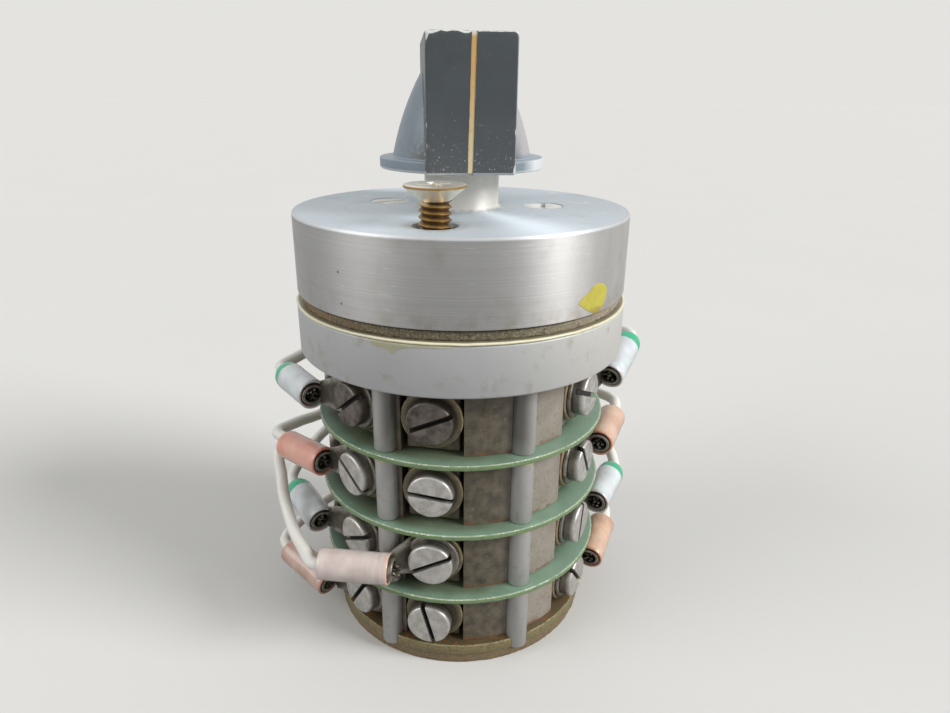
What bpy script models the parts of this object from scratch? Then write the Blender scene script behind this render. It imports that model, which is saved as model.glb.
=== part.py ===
"""A rotary wafer switch: a bar knob and detent housing over four wafers of nine screw terminals each.

Metres, +Z up. The shaft's axis is the Z axis and the foot of the stack stands at z = 0. An azimuth is an
angle in degrees about that axis: 0 faces the front, along -Y, and it grows towards +X.
"""

import math

import bmesh
import bpy
from mathutils import Matrix, Vector

MM = 0.001

# Clearances
SEAT = 0.05 * MM  # between flat faces that rest on each other
FIT = 0.2 * MM  # round a rod, screw or bush that stands still
RUN = 0.3 * MM  # round anything that turns
OVERCUT = 2 * MM  # how far a cutter reaches past the face it cuts

# Shaft
SHAFT_RADIUS = 3.175 * MM
SHAFT_FLAT_DEPTH = 0.775 * MM
SHAFT_FLAT = SHAFT_RADIUS - SHAFT_FLAT_DEPTH  # from the axis to each flat

# Stack, from the foot up. Its discs are sized from the wafers' radius.
WAFER_RADIUS = 19.4 * MM
HEIGHTS_LOWEST_FIRST = (8.85 * MM, 9.9 * MM, 10.05 * MM, 10.3 * MM)
LOWEST_FIRST = range(len(HEIGHTS_LOWEST_FIRST), 0, -1)
WAFER_HEIGHTS = dict(zip(LOWEST_FIRST, HEIGHTS_LOWEST_FIRST))
END_PLATE_OVERHANG = 1.0 * MM
END_PLATE_RADIUS = WAFER_RADIUS + END_PLATE_OVERHANG
END_PLATE_THICK = 1.6 * MM
END_PLATE_FLOOR = 0.6 * MM
FOOT_DISC_OVERHANG = 1.3 * MM
FOOT_DISC_RADIUS = WAFER_RADIUS + FOOT_DISC_OVERHANG
FOOT_DISC_THICK = 1.7 * MM
DISC_OVERHANG = 2.7 * MM
DISC_RADIUS = WAFER_RADIUS + DISC_OVERHANG
DISC_THICK = 0.75 * MM
DISC_BORE_ROOM = 1.325 * MM
DISC_BORE_RADIUS = SHAFT_RADIUS + DISC_BORE_ROOM
ROUND_SEGMENTS = 36

# Wafers: a moulded ring with a notch for each terminal, and one place left blank
PLACES = 10
PITCH = 360 / PLACES
FIRST_TERMINAL = -10.5
BLANK_PLACE = 1
WAFER_WALL = 6.4 * MM
WAFER_BORE_RADIUS = WAFER_RADIUS - WAFER_WALL
NOTCH_DEPTH = 3.8 * MM
NOTCH_FLOOR_RADIUS = WAFER_RADIUS - NOTCH_DEPTH
NOTCH_WALL = 0.94 * MM  # left between two notches, at their floors
NOTCH_WIDTH = 2 * NOTCH_FLOOR_RADIUS * math.sin(math.radians(PITCH / 2)) - NOTCH_WALL
BLOCK_SIDE_GAP = 0.7 * MM
BLOCK_WIDTH = NOTCH_WIDTH - 2 * BLOCK_SIDE_GAP
BLOCK_INSET = 1.1 * MM
BLOCK_FACE_RADIUS = WAFER_RADIUS - BLOCK_INSET
BLOCK_CLEARANCE = 0.3 * MM
WASHER_RADIUS = 3.9 * MM
WASHER_THICK = 0.8 * MM
HEAD_RADIUS = 3.0 * MM
HEAD_HEIGHT = 2.0 * MM
SLOT_WIDTH = 0.8 * MM
SLOT_DEPTH = 0.7 * MM
SCREW_RADIUS = 1.5 * MM
SMALL_SEGMENTS = 8
BORE_SEGMENTS = 12

# Tie rods, with a spacer between each pair of discs
ROD_AZIMUTHS = (-30.1, 26.7, 151.5, 223.5)
ROD_OUTSET = 0.24 * MM
ROD_CIRCLE = WAFER_RADIUS + ROD_OUTSET
ROD_RADIUS = 1.0 * MM
SPACER_RADIUS = 1.585 * MM
SPACER_ROOM = 0.3 * MM
ROD_TOP_REACH = 1.8 * MM
ROD_FOOT = 0.3 * MM

# Housing with its seal, and the plate that closes it
PLATE_OVERHANG = 1.7 * MM
PLATE_RADIUS = DISC_RADIUS + PLATE_OVERHANG
PLATE_THICK = 11.0 * MM
PLATE_EDGE = 0.55 * MM
HOUSING_PROUD = 0.2 * MM
HOUSING_RADIUS = PLATE_RADIUS + HOUSING_PROUD
HOUSING_WALL = 2.5 * MM
HOUSING_INNER_RADIUS = HOUSING_RADIUS - HOUSING_WALL
HOUSING_HEIGHT = 7.0 * MM
HOUSING_FLOOR_THICK = 2.2 * MM
HOUSING_EDGE = 0.3 * MM
BEAD_PROUD = 0.1 * MM
BEAD_RADIUS = HOUSING_RADIUS + BEAD_PROUD
BEAD_WIDTH = 1.7 * MM
BEAD_INNER_RADIUS = BEAD_RADIUS - BEAD_WIDTH
BEAD_HEIGHT = 0.35 * MM
GASKET_INSET = 0.45 * MM
GASKET_RADIUS = PLATE_RADIUS - GASKET_INSET
GASKET_WIDTH = 2.75 * MM
GASKET_INNER_RADIUS = GASKET_RADIUS - GASKET_WIDTH
GASKET_HEIGHT = 1.4 * MM
BUSHING_WALL = 1.025 * MM
BUSHING_RADIUS = SHAFT_RADIUS + RUN + BUSHING_WALL
BOSS_WALL = 0.75 * MM
BOSS_RADIUS = BUSHING_RADIUS + BOSS_WALL
BOSS_FILLET = 0.6 * MM
FILLET_WAIST = 0.3  # share of the fillet left at its middle
KNOB_LIFT = 5.5 * MM  # from the plate to the underside of the knob

# Plate screws
COVER_SCREW_AZIMUTHS = {"right": 96.8, "left": -113.8}
COVER_SCREW_CIRCLE = 11.9 * MM
COVER_HEAD_RADIUS = 2.82 * MM
COVER_SHANK_RADIUS = 1.42 * MM
COVER_HEAD_DROP = 0.1 * MM
COVER_SLOT_TURNS = {"right": 35, "left": 85}
FLAT_HEAD_HALF_ANGLE = 41
SCREW_TIP = 0.75  # share of the shank's radius
MOUNTING_AZIMUTH = -10.0
MOUNTING_INSET = 7.4 * MM
MOUNTING_CIRCLE = PLATE_RADIUS - MOUNTING_INSET
MOUNTING_HEAD_RADIUS = 3.83 * MM
MOUNTING_HEAD_RIM = 0.25 * MM
MOUNTING_SHANK_RADIUS = 2.085 * MM
MOUNTING_HEAD_TOP = 4.95 * MM  # above the plate
MOUNTING_LENGTH = 15.9 * MM
MOUNTING_SINK = 0.645 * MM
MOUNTING_HOLE_MOUTH = MOUNTING_SHANK_RADIUS + FIT + MOUNTING_SINK

# Bushing of the shaft, and the ring that keeps the shaft in
SHAFT_SEGMENTS = 16
BUSHING_DROP = 0.4 * MM  # its top below the top of the boss
FLANGE_EDGE = 2.6 * MM
FLANGE_RADIUS = COVER_SCREW_CIRCLE + FLANGE_EDGE
FLANGE_THICK = 1.25 * MM
RETAINER_PROUD = 1.725 * MM
RETAINER_RADIUS = SHAFT_RADIUS + RETAINER_PROUD
RETAINER_GROOVE_DEPTH = 0.575 * MM
RETAINER_GROOVE_RADIUS = SHAFT_RADIUS - RETAINER_GROOVE_DEPTH
RETAINER_THICK = 0.5 * MM
RETAINER_MOUTH = 70  # degrees left open

# Detent: a notched wheel with a stop tooth, a ball and a spring in a guide
DETENT_ROOM = 8.0 * MM  # for the ball, the spring and the guide's end wall
WHEEL_RADIUS = HOUSING_INNER_RADIUS - DETENT_ROOM
WHEEL_THICK = 1.8 * MM
WHEEL_LIFT = 1.5 * MM  # from the floor of the housing
WHEEL_NOTCH_DEPTH = 0.7 * MM
WHEEL_NOTCH_RADIUS = 2.6 * MM
STOP_CIRCLE = 7.0 * MM
STOP_POST_RADIUS = 1.5 * MM
STOP_POST_HEIGHT = 1.2 * MM
STOP_TOOTH_WIDTH = 4.6 * MM
STOP_TOOTH_REACH = 8.5 * MM
STOP_TOOTH_HEIGHT = 1.2 * MM
GUIDE_AZIMUTH = 180
GUIDE_WIDTH = 7.0 * MM
GUIDE_END_WALL = 0.8 * MM
BALL_RADIUS = 1.6 * MM
SPRING_WIRE_RADIUS = 0.2 * MM
SPRING_TURNS = 5
SPRING_STEPS = 6  # in each turn

# Rotors and their wipers. The wipers point at the middle place of the nine at rest.
REST_PLACE = BLANK_PLACE + PLACES // 2
ROTOR_HUB_RADIUS = 6.5 * MM
ROTOR_FLANGE_GAP = 3.0 * MM
ROTOR_FLANGE_RADIUS = WAFER_BORE_RADIUS - ROTOR_FLANGE_GAP
ROTOR_FLANGE_THICK = 2.0 * MM
ROTOR_END_GAP = 0.4 * MM
WIPER_INNER = ROTOR_HUB_RADIUS + 2 * FIT
WIPER_GAP = 0.4 * MM
WIPER_REACH = WAFER_BORE_RADIUS - WIPER_GAP
WIPER_WIDTH = 3.6 * MM
WIPER_THICK = 0.5 * MM
WIPER_CONTACT_RADIUS = 1.2 * MM
WIPER_CONTACT_TIP = 0.7 * MM
WIPER_CONTACT_INSET = 1.4 * MM
WIPER_CONTACT_CIRCLE = WIPER_REACH - WIPER_CONTACT_INSET
WIPER_CONTACT_HEIGHT = 0.7 * MM

# Knob
KNOB_TURN = 7.2  # where its index line points at rest
SKIRT_RADIUS = 11.4 * MM
SKIRT_THICK = 1.45 * MM
SKIRT_EDGE = 0.35 * MM
BAR_WIDTH = 11.2 * MM
BAR_HALF_LENGTH = 11.7 * MM
BAR_HEIGHT = 16.5 * MM
BAR_EDGE = 0.35 * MM
SKIRT_LEDGE = 1.8 * MM
DOME_FOOT_RADIUS = SKIRT_RADIUS - SKIRT_LEDGE
DOME_TOP_RADIUS = 5.0 * MM
DOME_HEIGHT = 13.2 * MM
DOME_BULGE = 0.55 * MM
INDEX_WIDTH = 0.72 * MM
INDEX_DEPTH = 0.25 * MM
KNOB_BORE_DEPTH = 12.0 * MM
SET_SCREW_AZIMUTH = 130
SET_SCREW_HEIGHT = 4.2 * MM
SET_SCREW_RADIUS = 1.4 * MM
SET_SCREW_LENGTH = 4.0 * MM
SET_SCREW_SOCKET = 0.7 * MM

# Ring lugs under some of the screws, each crimped on wires inside a sleeve
LUG_RING_RADIUS = 3.8 * MM
LUG_THICK = 0.5 * MM
NECK_START = 2.9 * MM
NECK_WIDTH = 4.6 * MM
NECK_END_WIDTH = 2.4 * MM
NECK_THICK = 0.42 * MM
BARREL_RADIUS = 1.6 * MM
BARREL_BORE_RADIUS = 1.1 * MM
BARREL_PROUD = 0.8 * MM
BARREL_LENGTH = 5.0 * MM
SLEEVE_RADIUS = 2.3 * MM
SLEEVE_BORE_RADIUS = 1.9 * MM
SLEEVE_LENGTH = 10.0 * MM
SLEEVE_SEGMENTS = 10
# name: wafer, place, side (-1 left, 1 right), then the mouth of its sleeve in millimetres, out from the
# lug's seat, along from the screw and up from the screw, then the bend outward and the rise in degrees
LUGS = {
    "left_1": (1, 9, -1, 2.35, 8.4, -1.2, -6, 1),
    "left_2": (2, 9, -1, 2.35, 6.6, -0.6, 6, -2),
    "left_3": (3, 9, -1, 2.35, 9.0, -1.4, -7, 7),
    "left_4": (4, 9, -1, 2.35, 7.9, -2.6, 8, 11),
    "front_3": (3, 0, -1, 3.45, 5.4, -0.4, 4, 0),
    "right_1": (1, 2, 1, 2.35, 7.6, 0.1, 0, 18),
    "right_2": (2, 2, 1, 2.35, 5.2, 0.7, -2, 6),
    "right_3": (3, 2, 1, 2.35, 5.9, 0.5, -2, 5),
    "right_4": (4, 2, 1, 2.35, 4.9, 0.5, -2, 10),
}
WHITE_SLEEVES = ("left_1", "left_3", "right_1", "right_3")

# Jumper wires: the sleeve each end goes into, how far it lies above the sleeve's axis there, and the
# points of its route between them: azimuth, then millimetres out from the discs' rim and up from the
# level of its first screw
WIRE_RADIUS = 0.75 * MM
WIRE_PAIR_OFFSET = 0.95
WIRE_SPACING = 3.2 * MM
WIRE_STRAIGHT = 1.1 * MM  # to each side of a sleeve's end
WIRES = {
    "jumper_1": (
        ("left_1", 0.3),
        ("right_1", 0),
        (
            (265.6, 6.9, -0.9),
            (256.5, 5.4, -0.6),
            (237.5, 4.7, 0.1),
            (209.6, 4.6, -0.3),
            (179.1, 4.5, -0.9),
            (149.6, 4.8, -0.1),
            (126.0, 5.1, 1.5),
            (110.2, 6.2, 3.1),
        ),
    ),
    "jumper_2": (
        ("left_2", WIRE_PAIR_OFFSET),
        ("right_2", 0),
        (
            (271.9, 7.5, -0.1),
            (262.5, 5.4, -0.6),
            (251.0, 4.3, -1.6),
            (229.1, 3.8, -1.4),
            (202.2, 3.8, -0.6),
            (174.7, 4.0, -1.2),
            (147.6, 4.4, -0.8),
            (125.6, 4.7, 0.8),
            (108.3, 5.3, 2.0),
        ),
    ),
    "jumper_3": (
        ("left_2", -WIRE_PAIR_OFFSET),
        ("front_3", 0),
        (
            (278.1, 7.7, -3.2),
            (281.5, 7.4, -5.2),
            (285.6, 7.3, -7.6),
            (290.4, 6.9, -9.6),
            (296.9, 6.4, -10.8),
            (304.0, 6.1, -11.4),
        ),
    ),
    "jumper_4": (
        ("left_3", 0),
        ("right_3", 0),
        (
            (264.9, 6.9, 0.9),
            (257.0, 5.4, 3.7),
            (241.5, 4.3, 5.3),
            (215.0, 4.0, 4.1),
            (185.2, 4.2, 2.3),
            (155.9, 4.4, 1.7),
            (130.5, 4.7, 2.5),
            (110.8, 5.5, 3.1),
        ),
    ),
    "jumper_5": (
        ("left_4", 0),
        ("right_4", 0),
        (
            (270.8, 8.2, 0.2),
            (263.1, 6.1, 1.4),
            (249.2, 4.4, 1.7),
            (221.0, 4.1, 0.7),
            (189.2, 4.1, 0.0),
            (158.7, 4.3, 0.0),
            (132.6, 4.5, 0.7),
            (110.6, 5.2, 1.8),
        ),
    ),
}

# Levels, worked out from the foot up
WAFER_FLOOR = {}
WAFER_TOP = {}
level = END_PLATE_THICK + FOOT_DISC_THICK
for wafer in LOWEST_FIRST:
    WAFER_FLOOR[wafer] = level
    WAFER_TOP[wafer] = level + WAFER_HEIGHTS[wafer]
    level = WAFER_TOP[wafer] + DISC_THICK
HOUSING_BOTTOM = WAFER_TOP[1]
HOUSING_FLOOR_TOP = HOUSING_BOTTOM + HOUSING_FLOOR_THICK
HOUSING_TOP = HOUSING_BOTTOM + HOUSING_HEIGHT
GASKET_BOTTOM = HOUSING_TOP + BEAD_HEIGHT
PLATE_BOTTOM = GASKET_BOTTOM + GASKET_HEIGHT
PLATE_TOP = PLATE_BOTTOM + PLATE_THICK
KNOB_BOTTOM = PLATE_TOP + KNOB_LIFT
FLANGE_BOTTOM = PLATE_BOTTOM - SEAT - FLANGE_THICK
RETAINER_TOP = FLANGE_BOTTOM - RUN
WHEEL_BOTTOM = HOUSING_FLOOR_TOP + WHEEL_LIFT
WHEEL_MIDDLE = WHEEL_BOTTOM + WHEEL_THICK / 2
BALL_PLACE = WHEEL_RADIUS + RUN + BALL_RADIUS
GUIDE_BORE_RADIUS = BALL_RADIUS + RUN
GUIDE_BORE_END = HOUSING_INNER_RADIUS - GUIDE_END_WALL
TERMINAL_PLACES = [place for place in range(PLACES) if place != BLANK_PLACE]
LUG_SEAT_RADIUS = BLOCK_FACE_RADIUS + WASHER_THICK + SEAT
LUG_ROOM = LUG_THICK + 2 * SEAT

MATERIALS = {
    "aluminium": ((0.60, 0.62, 0.64), 0.35, 1.0),
    "housing_anodised": ((0.40, 0.42, 0.42), 0.5, 0.4),
    "knob_enamel": ((0.075, 0.10, 0.125), 0.45, 0.0),
    "bright_steel": ((0.55, 0.54, 0.52), 0.35, 1.0),
    "gold_chromate": ((0.45, 0.27, 0.06), 0.35, 1.0),
    "gasket_cork": ((0.12, 0.10, 0.07), 0.9, 0.0),
    "seal_cream": ((0.80, 0.76, 0.50), 0.6, 0.0),
    "wafer_moulding": ((0.22, 0.20, 0.17), 0.7, 0.0),
    "green_laminate": ((0.22, 0.42, 0.30), 0.45, 0.0),
    "foot_laminate": ((0.33, 0.32, 0.17), 0.6, 0.0),
    "end_plate_laminate": ((0.25, 0.18, 0.11), 0.6, 0.0),
    "spacer_grey": ((0.42, 0.42, 0.40), 0.6, 0.3),
    "tinned_lug": ((0.45, 0.43, 0.39), 0.4, 1.0),
    "pink_sleeve": ((0.75, 0.42, 0.34), 0.4, 0.0),
    "white_sleeve": ((0.60, 0.64, 0.65), 0.4, 0.0),
    "wire_cream": ((0.82, 0.78, 0.66), 0.5, 0.0),
    "spring_steel": ((0.40, 0.40, 0.42), 0.3, 1.0),
    "contact_brass": ((0.62, 0.45, 0.18), 0.3, 1.0),
    "rotor_moulding": ((0.10, 0.09, 0.08), 0.6, 0.0),
}


def clear_scene():
    for thing in list(bpy.data.objects):
        bpy.data.objects.remove(thing)


def new_collection(name):
    collection = bpy.data.collections.new(name)
    bpy.context.scene.collection.children.link(collection)
    return collection


def material(name):
    found = bpy.data.materials.get(name)
    if found:
        return found
    colour, roughness, metallic = MATERIALS[name]
    made = bpy.data.materials.new(name)
    made.use_nodes = True
    shader = made.node_tree.nodes["Principled BSDF"]
    shader.inputs["Base Color"].default_value = (*colour, 1)
    shader.inputs["Roughness"].default_value = roughness
    shader.inputs["Metallic"].default_value = metallic
    return made


clear_scene()
PARTS = new_collection("rotary_wafer_switch")
CUTTERS = new_collection("cutters")


def azimuth_of(place):
    return FIRST_TERMINAL + PITCH * place


def outward(azimuth):
    turn = math.radians(azimuth)
    return Vector((math.sin(turn), -math.cos(turn), 0))


def sideways(azimuth):
    turn = math.radians(azimuth)
    return Vector((math.cos(turn), math.sin(turn), 0))


def frame(origin, x_axis, y_axis, z_axis):
    """The matrix that carries local X, Y and Z to these axes at this origin."""
    turned = Matrix((x_axis, y_axis, z_axis)).transposed().to_4x4()
    return Matrix.Translation(origin) @ turned


def radial_frame(azimuth, radius, z):
    """Local X runs sideways, Y up and Z outward, from a point at this azimuth, radius and height."""
    origin = outward(azimuth) * radius + Vector((0, 0, z))
    return frame(origin, sideways(azimuth), Vector((0, 0, 1)), outward(azimuth))


def upright(azimuth, radius, z=0.0):
    return Matrix.Translation(outward(azimuth) * radius + Vector((0, 0, z)))


def add_object(name, data, finish, matrix=None, parent=None):
    """A finished piece, or a cutter where no finish is given."""
    made = bpy.data.objects.new(name, data)
    if finish:
        PARTS.objects.link(made)
        data.materials.append(material(finish))
    else:
        CUTTERS.objects.link(made)
        made.hide_render = True
        made.display_type = "WIRE"
    made.matrix_world = matrix or Matrix.Identity(4)
    if parent:
        made.parent = parent
    return made


def box(bm, size, matrix):
    bmesh.ops.create_cube(bm, size=1, matrix=matrix @ Matrix.Diagonal((*size, 1)))


def cylinder(bm, radius, length, matrix, segments=SMALL_SEGMENTS, top_radius=None):
    bmesh.ops.create_cone(
        bm,
        cap_ends=True,
        segments=segments,
        radius1=radius,
        radius2=radius if top_radius is None else top_radius,
        depth=length,
        matrix=matrix,
    )


def raised(z):
    return Matrix.Translation((0, 0, z))


def mesh_from(name, build):
    """A mesh that build(bm) fills."""
    bm = bmesh.new()
    build(bm)
    mesh = bpy.data.meshes.new(name)
    bm.to_mesh(mesh)
    bm.free()
    return mesh


def solid(name, build, finish=None, matrix=None, parent=None):
    return add_object(name, mesh_from(name, build), finish, matrix, parent)


def profile_mesh(name, profile, ring):
    """The outline of a turned piece, in the XZ plane, from its top down the outer side."""
    mesh = bpy.data.meshes.new(name)
    edges = [(i, i + 1) for i in range(len(profile) - 1)]
    if ring:
        edges.append((len(profile) - 1, 0))
    mesh.from_pydata([(radius, 0, z) for radius, z in profile], edges, [])
    return mesh


def turned(name, profile, finish=None, matrix=None, parent=None, ring=False, segments=ROUND_SEGMENTS):
    made = add_object(name, profile_mesh(name, profile, ring), finish, matrix, parent)
    screw = made.modifiers.new("turn", "SCREW")
    screw.steps = screw.render_steps = segments
    screw.use_merge_vertices = True
    screw.merge_threshold = 0.00001
    return made


def turned_disc(name, radius, bottom, top, finish):
    return turned(name, [(0, top), (radius, top), (radius, bottom), (0, bottom)], finish)


def turned_ring(name, outer, inner, bottom, top, finish=None, segments=ROUND_SEGMENTS):
    profile = [(outer, top), (outer, bottom), (inner, bottom), (inner, top)]
    return turned(name, profile, finish, ring=True, segments=segments)


def boolean(target, operation, other):
    modifier = target.modifiers.new(operation.lower(), "BOOLEAN")
    modifier.operation = operation
    modifier.solver = "EXACT"
    if isinstance(other, bpy.types.Collection):
        modifier.operand_type = "COLLECTION"
        modifier.collection = other
    else:
        modifier.object = other


def cut(target, *cutters):
    for cutter in cutters:
        boolean(target, "DIFFERENCE", cutter)


def join(target, *others):
    for other in others:
        boolean(target, "UNION", other)


def make_round_cutters():
    """Cutters for the rods, for their spacers and for the shaft, through the whole stack."""
    top = HOUSING_FLOOR_TOP + OVERCUT
    length = top + OVERCUT

    def columns(radius):
        def build(bm):
            for azimuth in ROD_AZIMUTHS:
                cylinder(bm, radius, length, upright(azimuth, ROD_CIRCLE, top - length / 2))

        return build

    rods = solid("rod_clearance", columns(ROD_RADIUS + FIT))
    spacers = solid("spacer_clearance", columns(SPACER_RADIUS + SPACER_ROOM))
    centre = solid(
        "centre_clearance",
        lambda bm: cylinder(bm, DISC_BORE_RADIUS, length, raised(top - length / 2), BORE_SEGMENTS),
    )
    return rods, spacers, centre


def make_foot(rod_cutter, spacer_cutter, centre_cutter):
    plate = turned(
        "end_plate",
        [
            (SHAFT_RADIUS + RUN, END_PLATE_THICK),
            (SHAFT_RADIUS + RUN, END_PLATE_FLOOR),
            (0, END_PLATE_FLOOR),
        ][::-1]
        + [(END_PLATE_RADIUS, END_PLATE_THICK), (END_PLATE_RADIUS, 0), (0, 0)],
        "end_plate_laminate",
    )
    cut(plate, rod_cutter)
    bottom = END_PLATE_THICK + SEAT
    top = END_PLATE_THICK + FOOT_DISC_THICK
    disc = turned_disc("foot_insulator", FOOT_DISC_RADIUS, bottom, top, "foot_laminate")
    cut(disc, spacer_cutter, centre_cutter)


def make_discs(rod_cutter, centre_cutter):
    for number in (1, 2, 3):
        bottom = WAFER_TOP[number + 1] + SEAT
        top = WAFER_FLOOR[number]
        disc = turned_disc(f"insulator_disc_{number}", DISC_RADIUS, bottom, top, "green_laminate")
        cut(disc, rod_cutter, centre_cutter)


def terminal_height(wafer):
    return (WAFER_FLOOR[wafer] + SEAT + WAFER_TOP[wafer]) / 2


def head_seat(wafer, place):
    """How far the head's underside stands from the block: a lug under it lifts it."""
    has_lug = any(lug[:2] == (wafer, place) for lug in LUGS.values())
    return WASHER_THICK + (LUG_ROOM if has_lug else 0)


def terminal_profile(seat):
    """Washer, neck and pan head, from the head's face down, with the block's face at z = 0."""
    face = seat + HEAD_HEIGHT
    profile = [(0, face), (HEAD_RADIUS, face), (HEAD_RADIUS, seat)]
    if seat > WASHER_THICK:
        profile += [(SCREW_RADIUS, seat), (SCREW_RADIUS, WASHER_THICK)]
    return profile + [(WASHER_RADIUS, WASHER_THICK), (WASHER_RADIUS, -FIT), (0, -FIT)]


def make_wafer(wafer, spacer_cutter):
    bottom = WAFER_FLOOR[wafer] + SEAT
    top = WAFER_TOP[wafer]
    middle = terminal_height(wafer)
    name = f"stator_{wafer}"
    ring = turned_ring(name, WAFER_RADIUS, WAFER_BORE_RADIUS, bottom, top, "wafer_moulding")

    def notches(bm):
        depth = WAFER_RADIUS - NOTCH_FLOOR_RADIUS + OVERCUT
        for place in TERMINAL_PLACES:
            where = radial_frame(azimuth_of(place), NOTCH_FLOOR_RADIUS + depth / 2, middle)
            box(bm, (NOTCH_WIDTH, top - bottom + OVERCUT, depth), where)

    def blocks(bm):
        height = WAFER_HEIGHTS[wafer] - BLOCK_CLEARANCE * 2
        depth = BLOCK_FACE_RADIUS - NOTCH_FLOOR_RADIUS + BLOCK_CLEARANCE
        for place in TERMINAL_PLACES:
            where = radial_frame(azimuth_of(place), BLOCK_FACE_RADIUS - depth / 2, middle)
            box(bm, (BLOCK_WIDTH, height, depth), where)

    cut(ring, solid(name + "_notches", notches), spacer_cutter)
    join(ring, solid(name + "_blocks", blocks))
    screws = bpy.data.collections.new(name + "_screws")
    CUTTERS.children.link(screws)
    for place in TERMINAL_PLACES:
        screw = turned(
            f"{name}_screw_{place}",
            terminal_profile(head_seat(wafer, place)),
            matrix=radial_frame(azimuth_of(place), BLOCK_FACE_RADIUS, middle),
            segments=SMALL_SEGMENTS,
        )
        CUTTERS.objects.unlink(screw)
        screws.objects.link(screw)
    join(ring, screws)


def make_tie_rod(number, azimuth):
    """One rod with the spacers it carries, from the housing down to the end plate."""
    rod_top = HOUSING_BOTTOM + SEAT + ROD_TOP_REACH
    profile = [(0, rod_top), (ROD_RADIUS, rod_top)]
    for wafer in (1, 2, 3, 4):
        floor = WAFER_FLOOR[wafer] if wafer < 4 else END_PLATE_THICK
        profile += [
            (ROD_RADIUS, WAFER_TOP[wafer]),
            (SPACER_RADIUS, WAFER_TOP[wafer]),
            (SPACER_RADIUS, floor + SEAT),
            (ROD_RADIUS, floor + SEAT),
        ]
    profile += [(ROD_RADIUS, ROD_FOOT), (0, ROD_FOOT)]
    place = upright(azimuth, ROD_CIRCLE)
    turned(f"tie_rod_{number}", profile, "spacer_grey", place, segments=SMALL_SEGMENTS)


def make_housing(rod_cutter, centre_cutter):
    bottom = HOUSING_BOTTOM + SEAT
    housing = turned(
        "housing",
        [
            (0, HOUSING_FLOOR_TOP),
            (HOUSING_INNER_RADIUS, HOUSING_FLOOR_TOP),
            (HOUSING_INNER_RADIUS, HOUSING_TOP),
            (HOUSING_RADIUS - HOUSING_EDGE, HOUSING_TOP),
            (HOUSING_RADIUS, HOUSING_TOP - HOUSING_EDGE),
            (HOUSING_RADIUS, bottom + HOUSING_EDGE),
            (HOUSING_RADIUS - HOUSING_EDGE, bottom),
            (0, bottom),
        ],
        "housing_anodised",
    )
    guide_inner = WHEEL_RADIUS + 2 * RUN
    guide_outer = HOUSING_INNER_RADIUS + FIT
    guide_length = guide_outer - guide_inner
    guide_height = HOUSING_TOP - HOUSING_FLOOR_TOP
    bore_length = GUIDE_BORE_END - guide_inner + OVERCUT

    def guide(bm):
        middle = HOUSING_FLOOR_TOP + guide_height / 2 - FIT
        place = radial_frame(GUIDE_AZIMUTH, guide_inner + guide_length / 2, middle)
        box(bm, (GUIDE_WIDTH, guide_height, guide_length), place)

    def stop_post(bm):
        height = STOP_POST_HEIGHT + FIT
        place = upright(azimuth_of(REST_PLACE) + 180, STOP_CIRCLE, HOUSING_FLOOR_TOP - FIT + height / 2)
        cylinder(bm, STOP_POST_RADIUS, height, place)

    def bore(bm):
        place = radial_frame(GUIDE_AZIMUTH, GUIDE_BORE_END - bore_length / 2, WHEEL_MIDDLE)
        cylinder(bm, GUIDE_BORE_RADIUS, bore_length, place, BORE_SEGMENTS)

    join(housing, solid("detent_guide", guide), solid("stop_post", stop_post))
    cut(housing, solid("detent_bore", bore), rod_cutter, centre_cutter)


def make_seals():
    bead_bottom = HOUSING_TOP + SEAT
    bead_middle = (bead_bottom + GASKET_BOTTOM) / 2
    turned(
        "seal_bead",
        [
            (BEAD_RADIUS - FIT, GASKET_BOTTOM),
            (BEAD_RADIUS, bead_middle),
            (BEAD_RADIUS - FIT, bead_bottom),
            (BEAD_INNER_RADIUS, bead_bottom),
            (BEAD_INNER_RADIUS, GASKET_BOTTOM),
        ],
        "seal_cream",
        ring=True,
    )
    bottom = GASKET_BOTTOM + SEAT
    turned_ring("gasket", GASKET_RADIUS, GASKET_INNER_RADIUS, bottom, PLATE_BOTTOM, "gasket_cork")


def countersunk_cutter(name, azimuth, circle, mouth_radius, hole_radius, bottom):
    """A through hole with an 82 degree countersink whose mouth lies in the top of the plate."""
    sink = (mouth_radius - hole_radius) / math.tan(math.radians(FLAT_HEAD_HALF_ANGLE))
    profile = [
        (0, PLATE_TOP + OVERCUT),
        (mouth_radius, PLATE_TOP + OVERCUT),
        (mouth_radius, PLATE_TOP),
        (hole_radius, PLATE_TOP - sink),
        (hole_radius, bottom),
        (0, bottom),
    ]
    return turned(name, profile, matrix=upright(azimuth, circle), segments=BORE_SEGMENTS)


def make_plate(cover_cutters):
    bottom = PLATE_BOTTOM + SEAT
    boss_top = KNOB_BOTTOM - RUN
    bore = BUSHING_RADIUS + FIT
    waist = BOSS_FILLET * FILLET_WAIST
    plate = turned(
        "top_plate",
        [
            (BOSS_RADIUS, boss_top),
            (BOSS_RADIUS, PLATE_TOP + BOSS_FILLET),
            (BOSS_RADIUS + waist, PLATE_TOP + waist),
            (BOSS_RADIUS + BOSS_FILLET, PLATE_TOP),
            (PLATE_RADIUS - PLATE_EDGE, PLATE_TOP),
            (PLATE_RADIUS, PLATE_TOP - PLATE_EDGE),
            (PLATE_RADIUS, bottom),
            (bore, bottom),
            (bore, boss_top),
        ],
        "aluminium",
        ring=True,
    )
    tapped = countersunk_cutter(
        "mounting_hole",
        MOUNTING_AZIMUTH,
        MOUNTING_CIRCLE,
        MOUNTING_HOLE_MOUTH,
        MOUNTING_SHANK_RADIUS + FIT,
        PLATE_BOTTOM - OVERCUT,
    )
    cut(plate, tapped, *cover_cutters)


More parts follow.
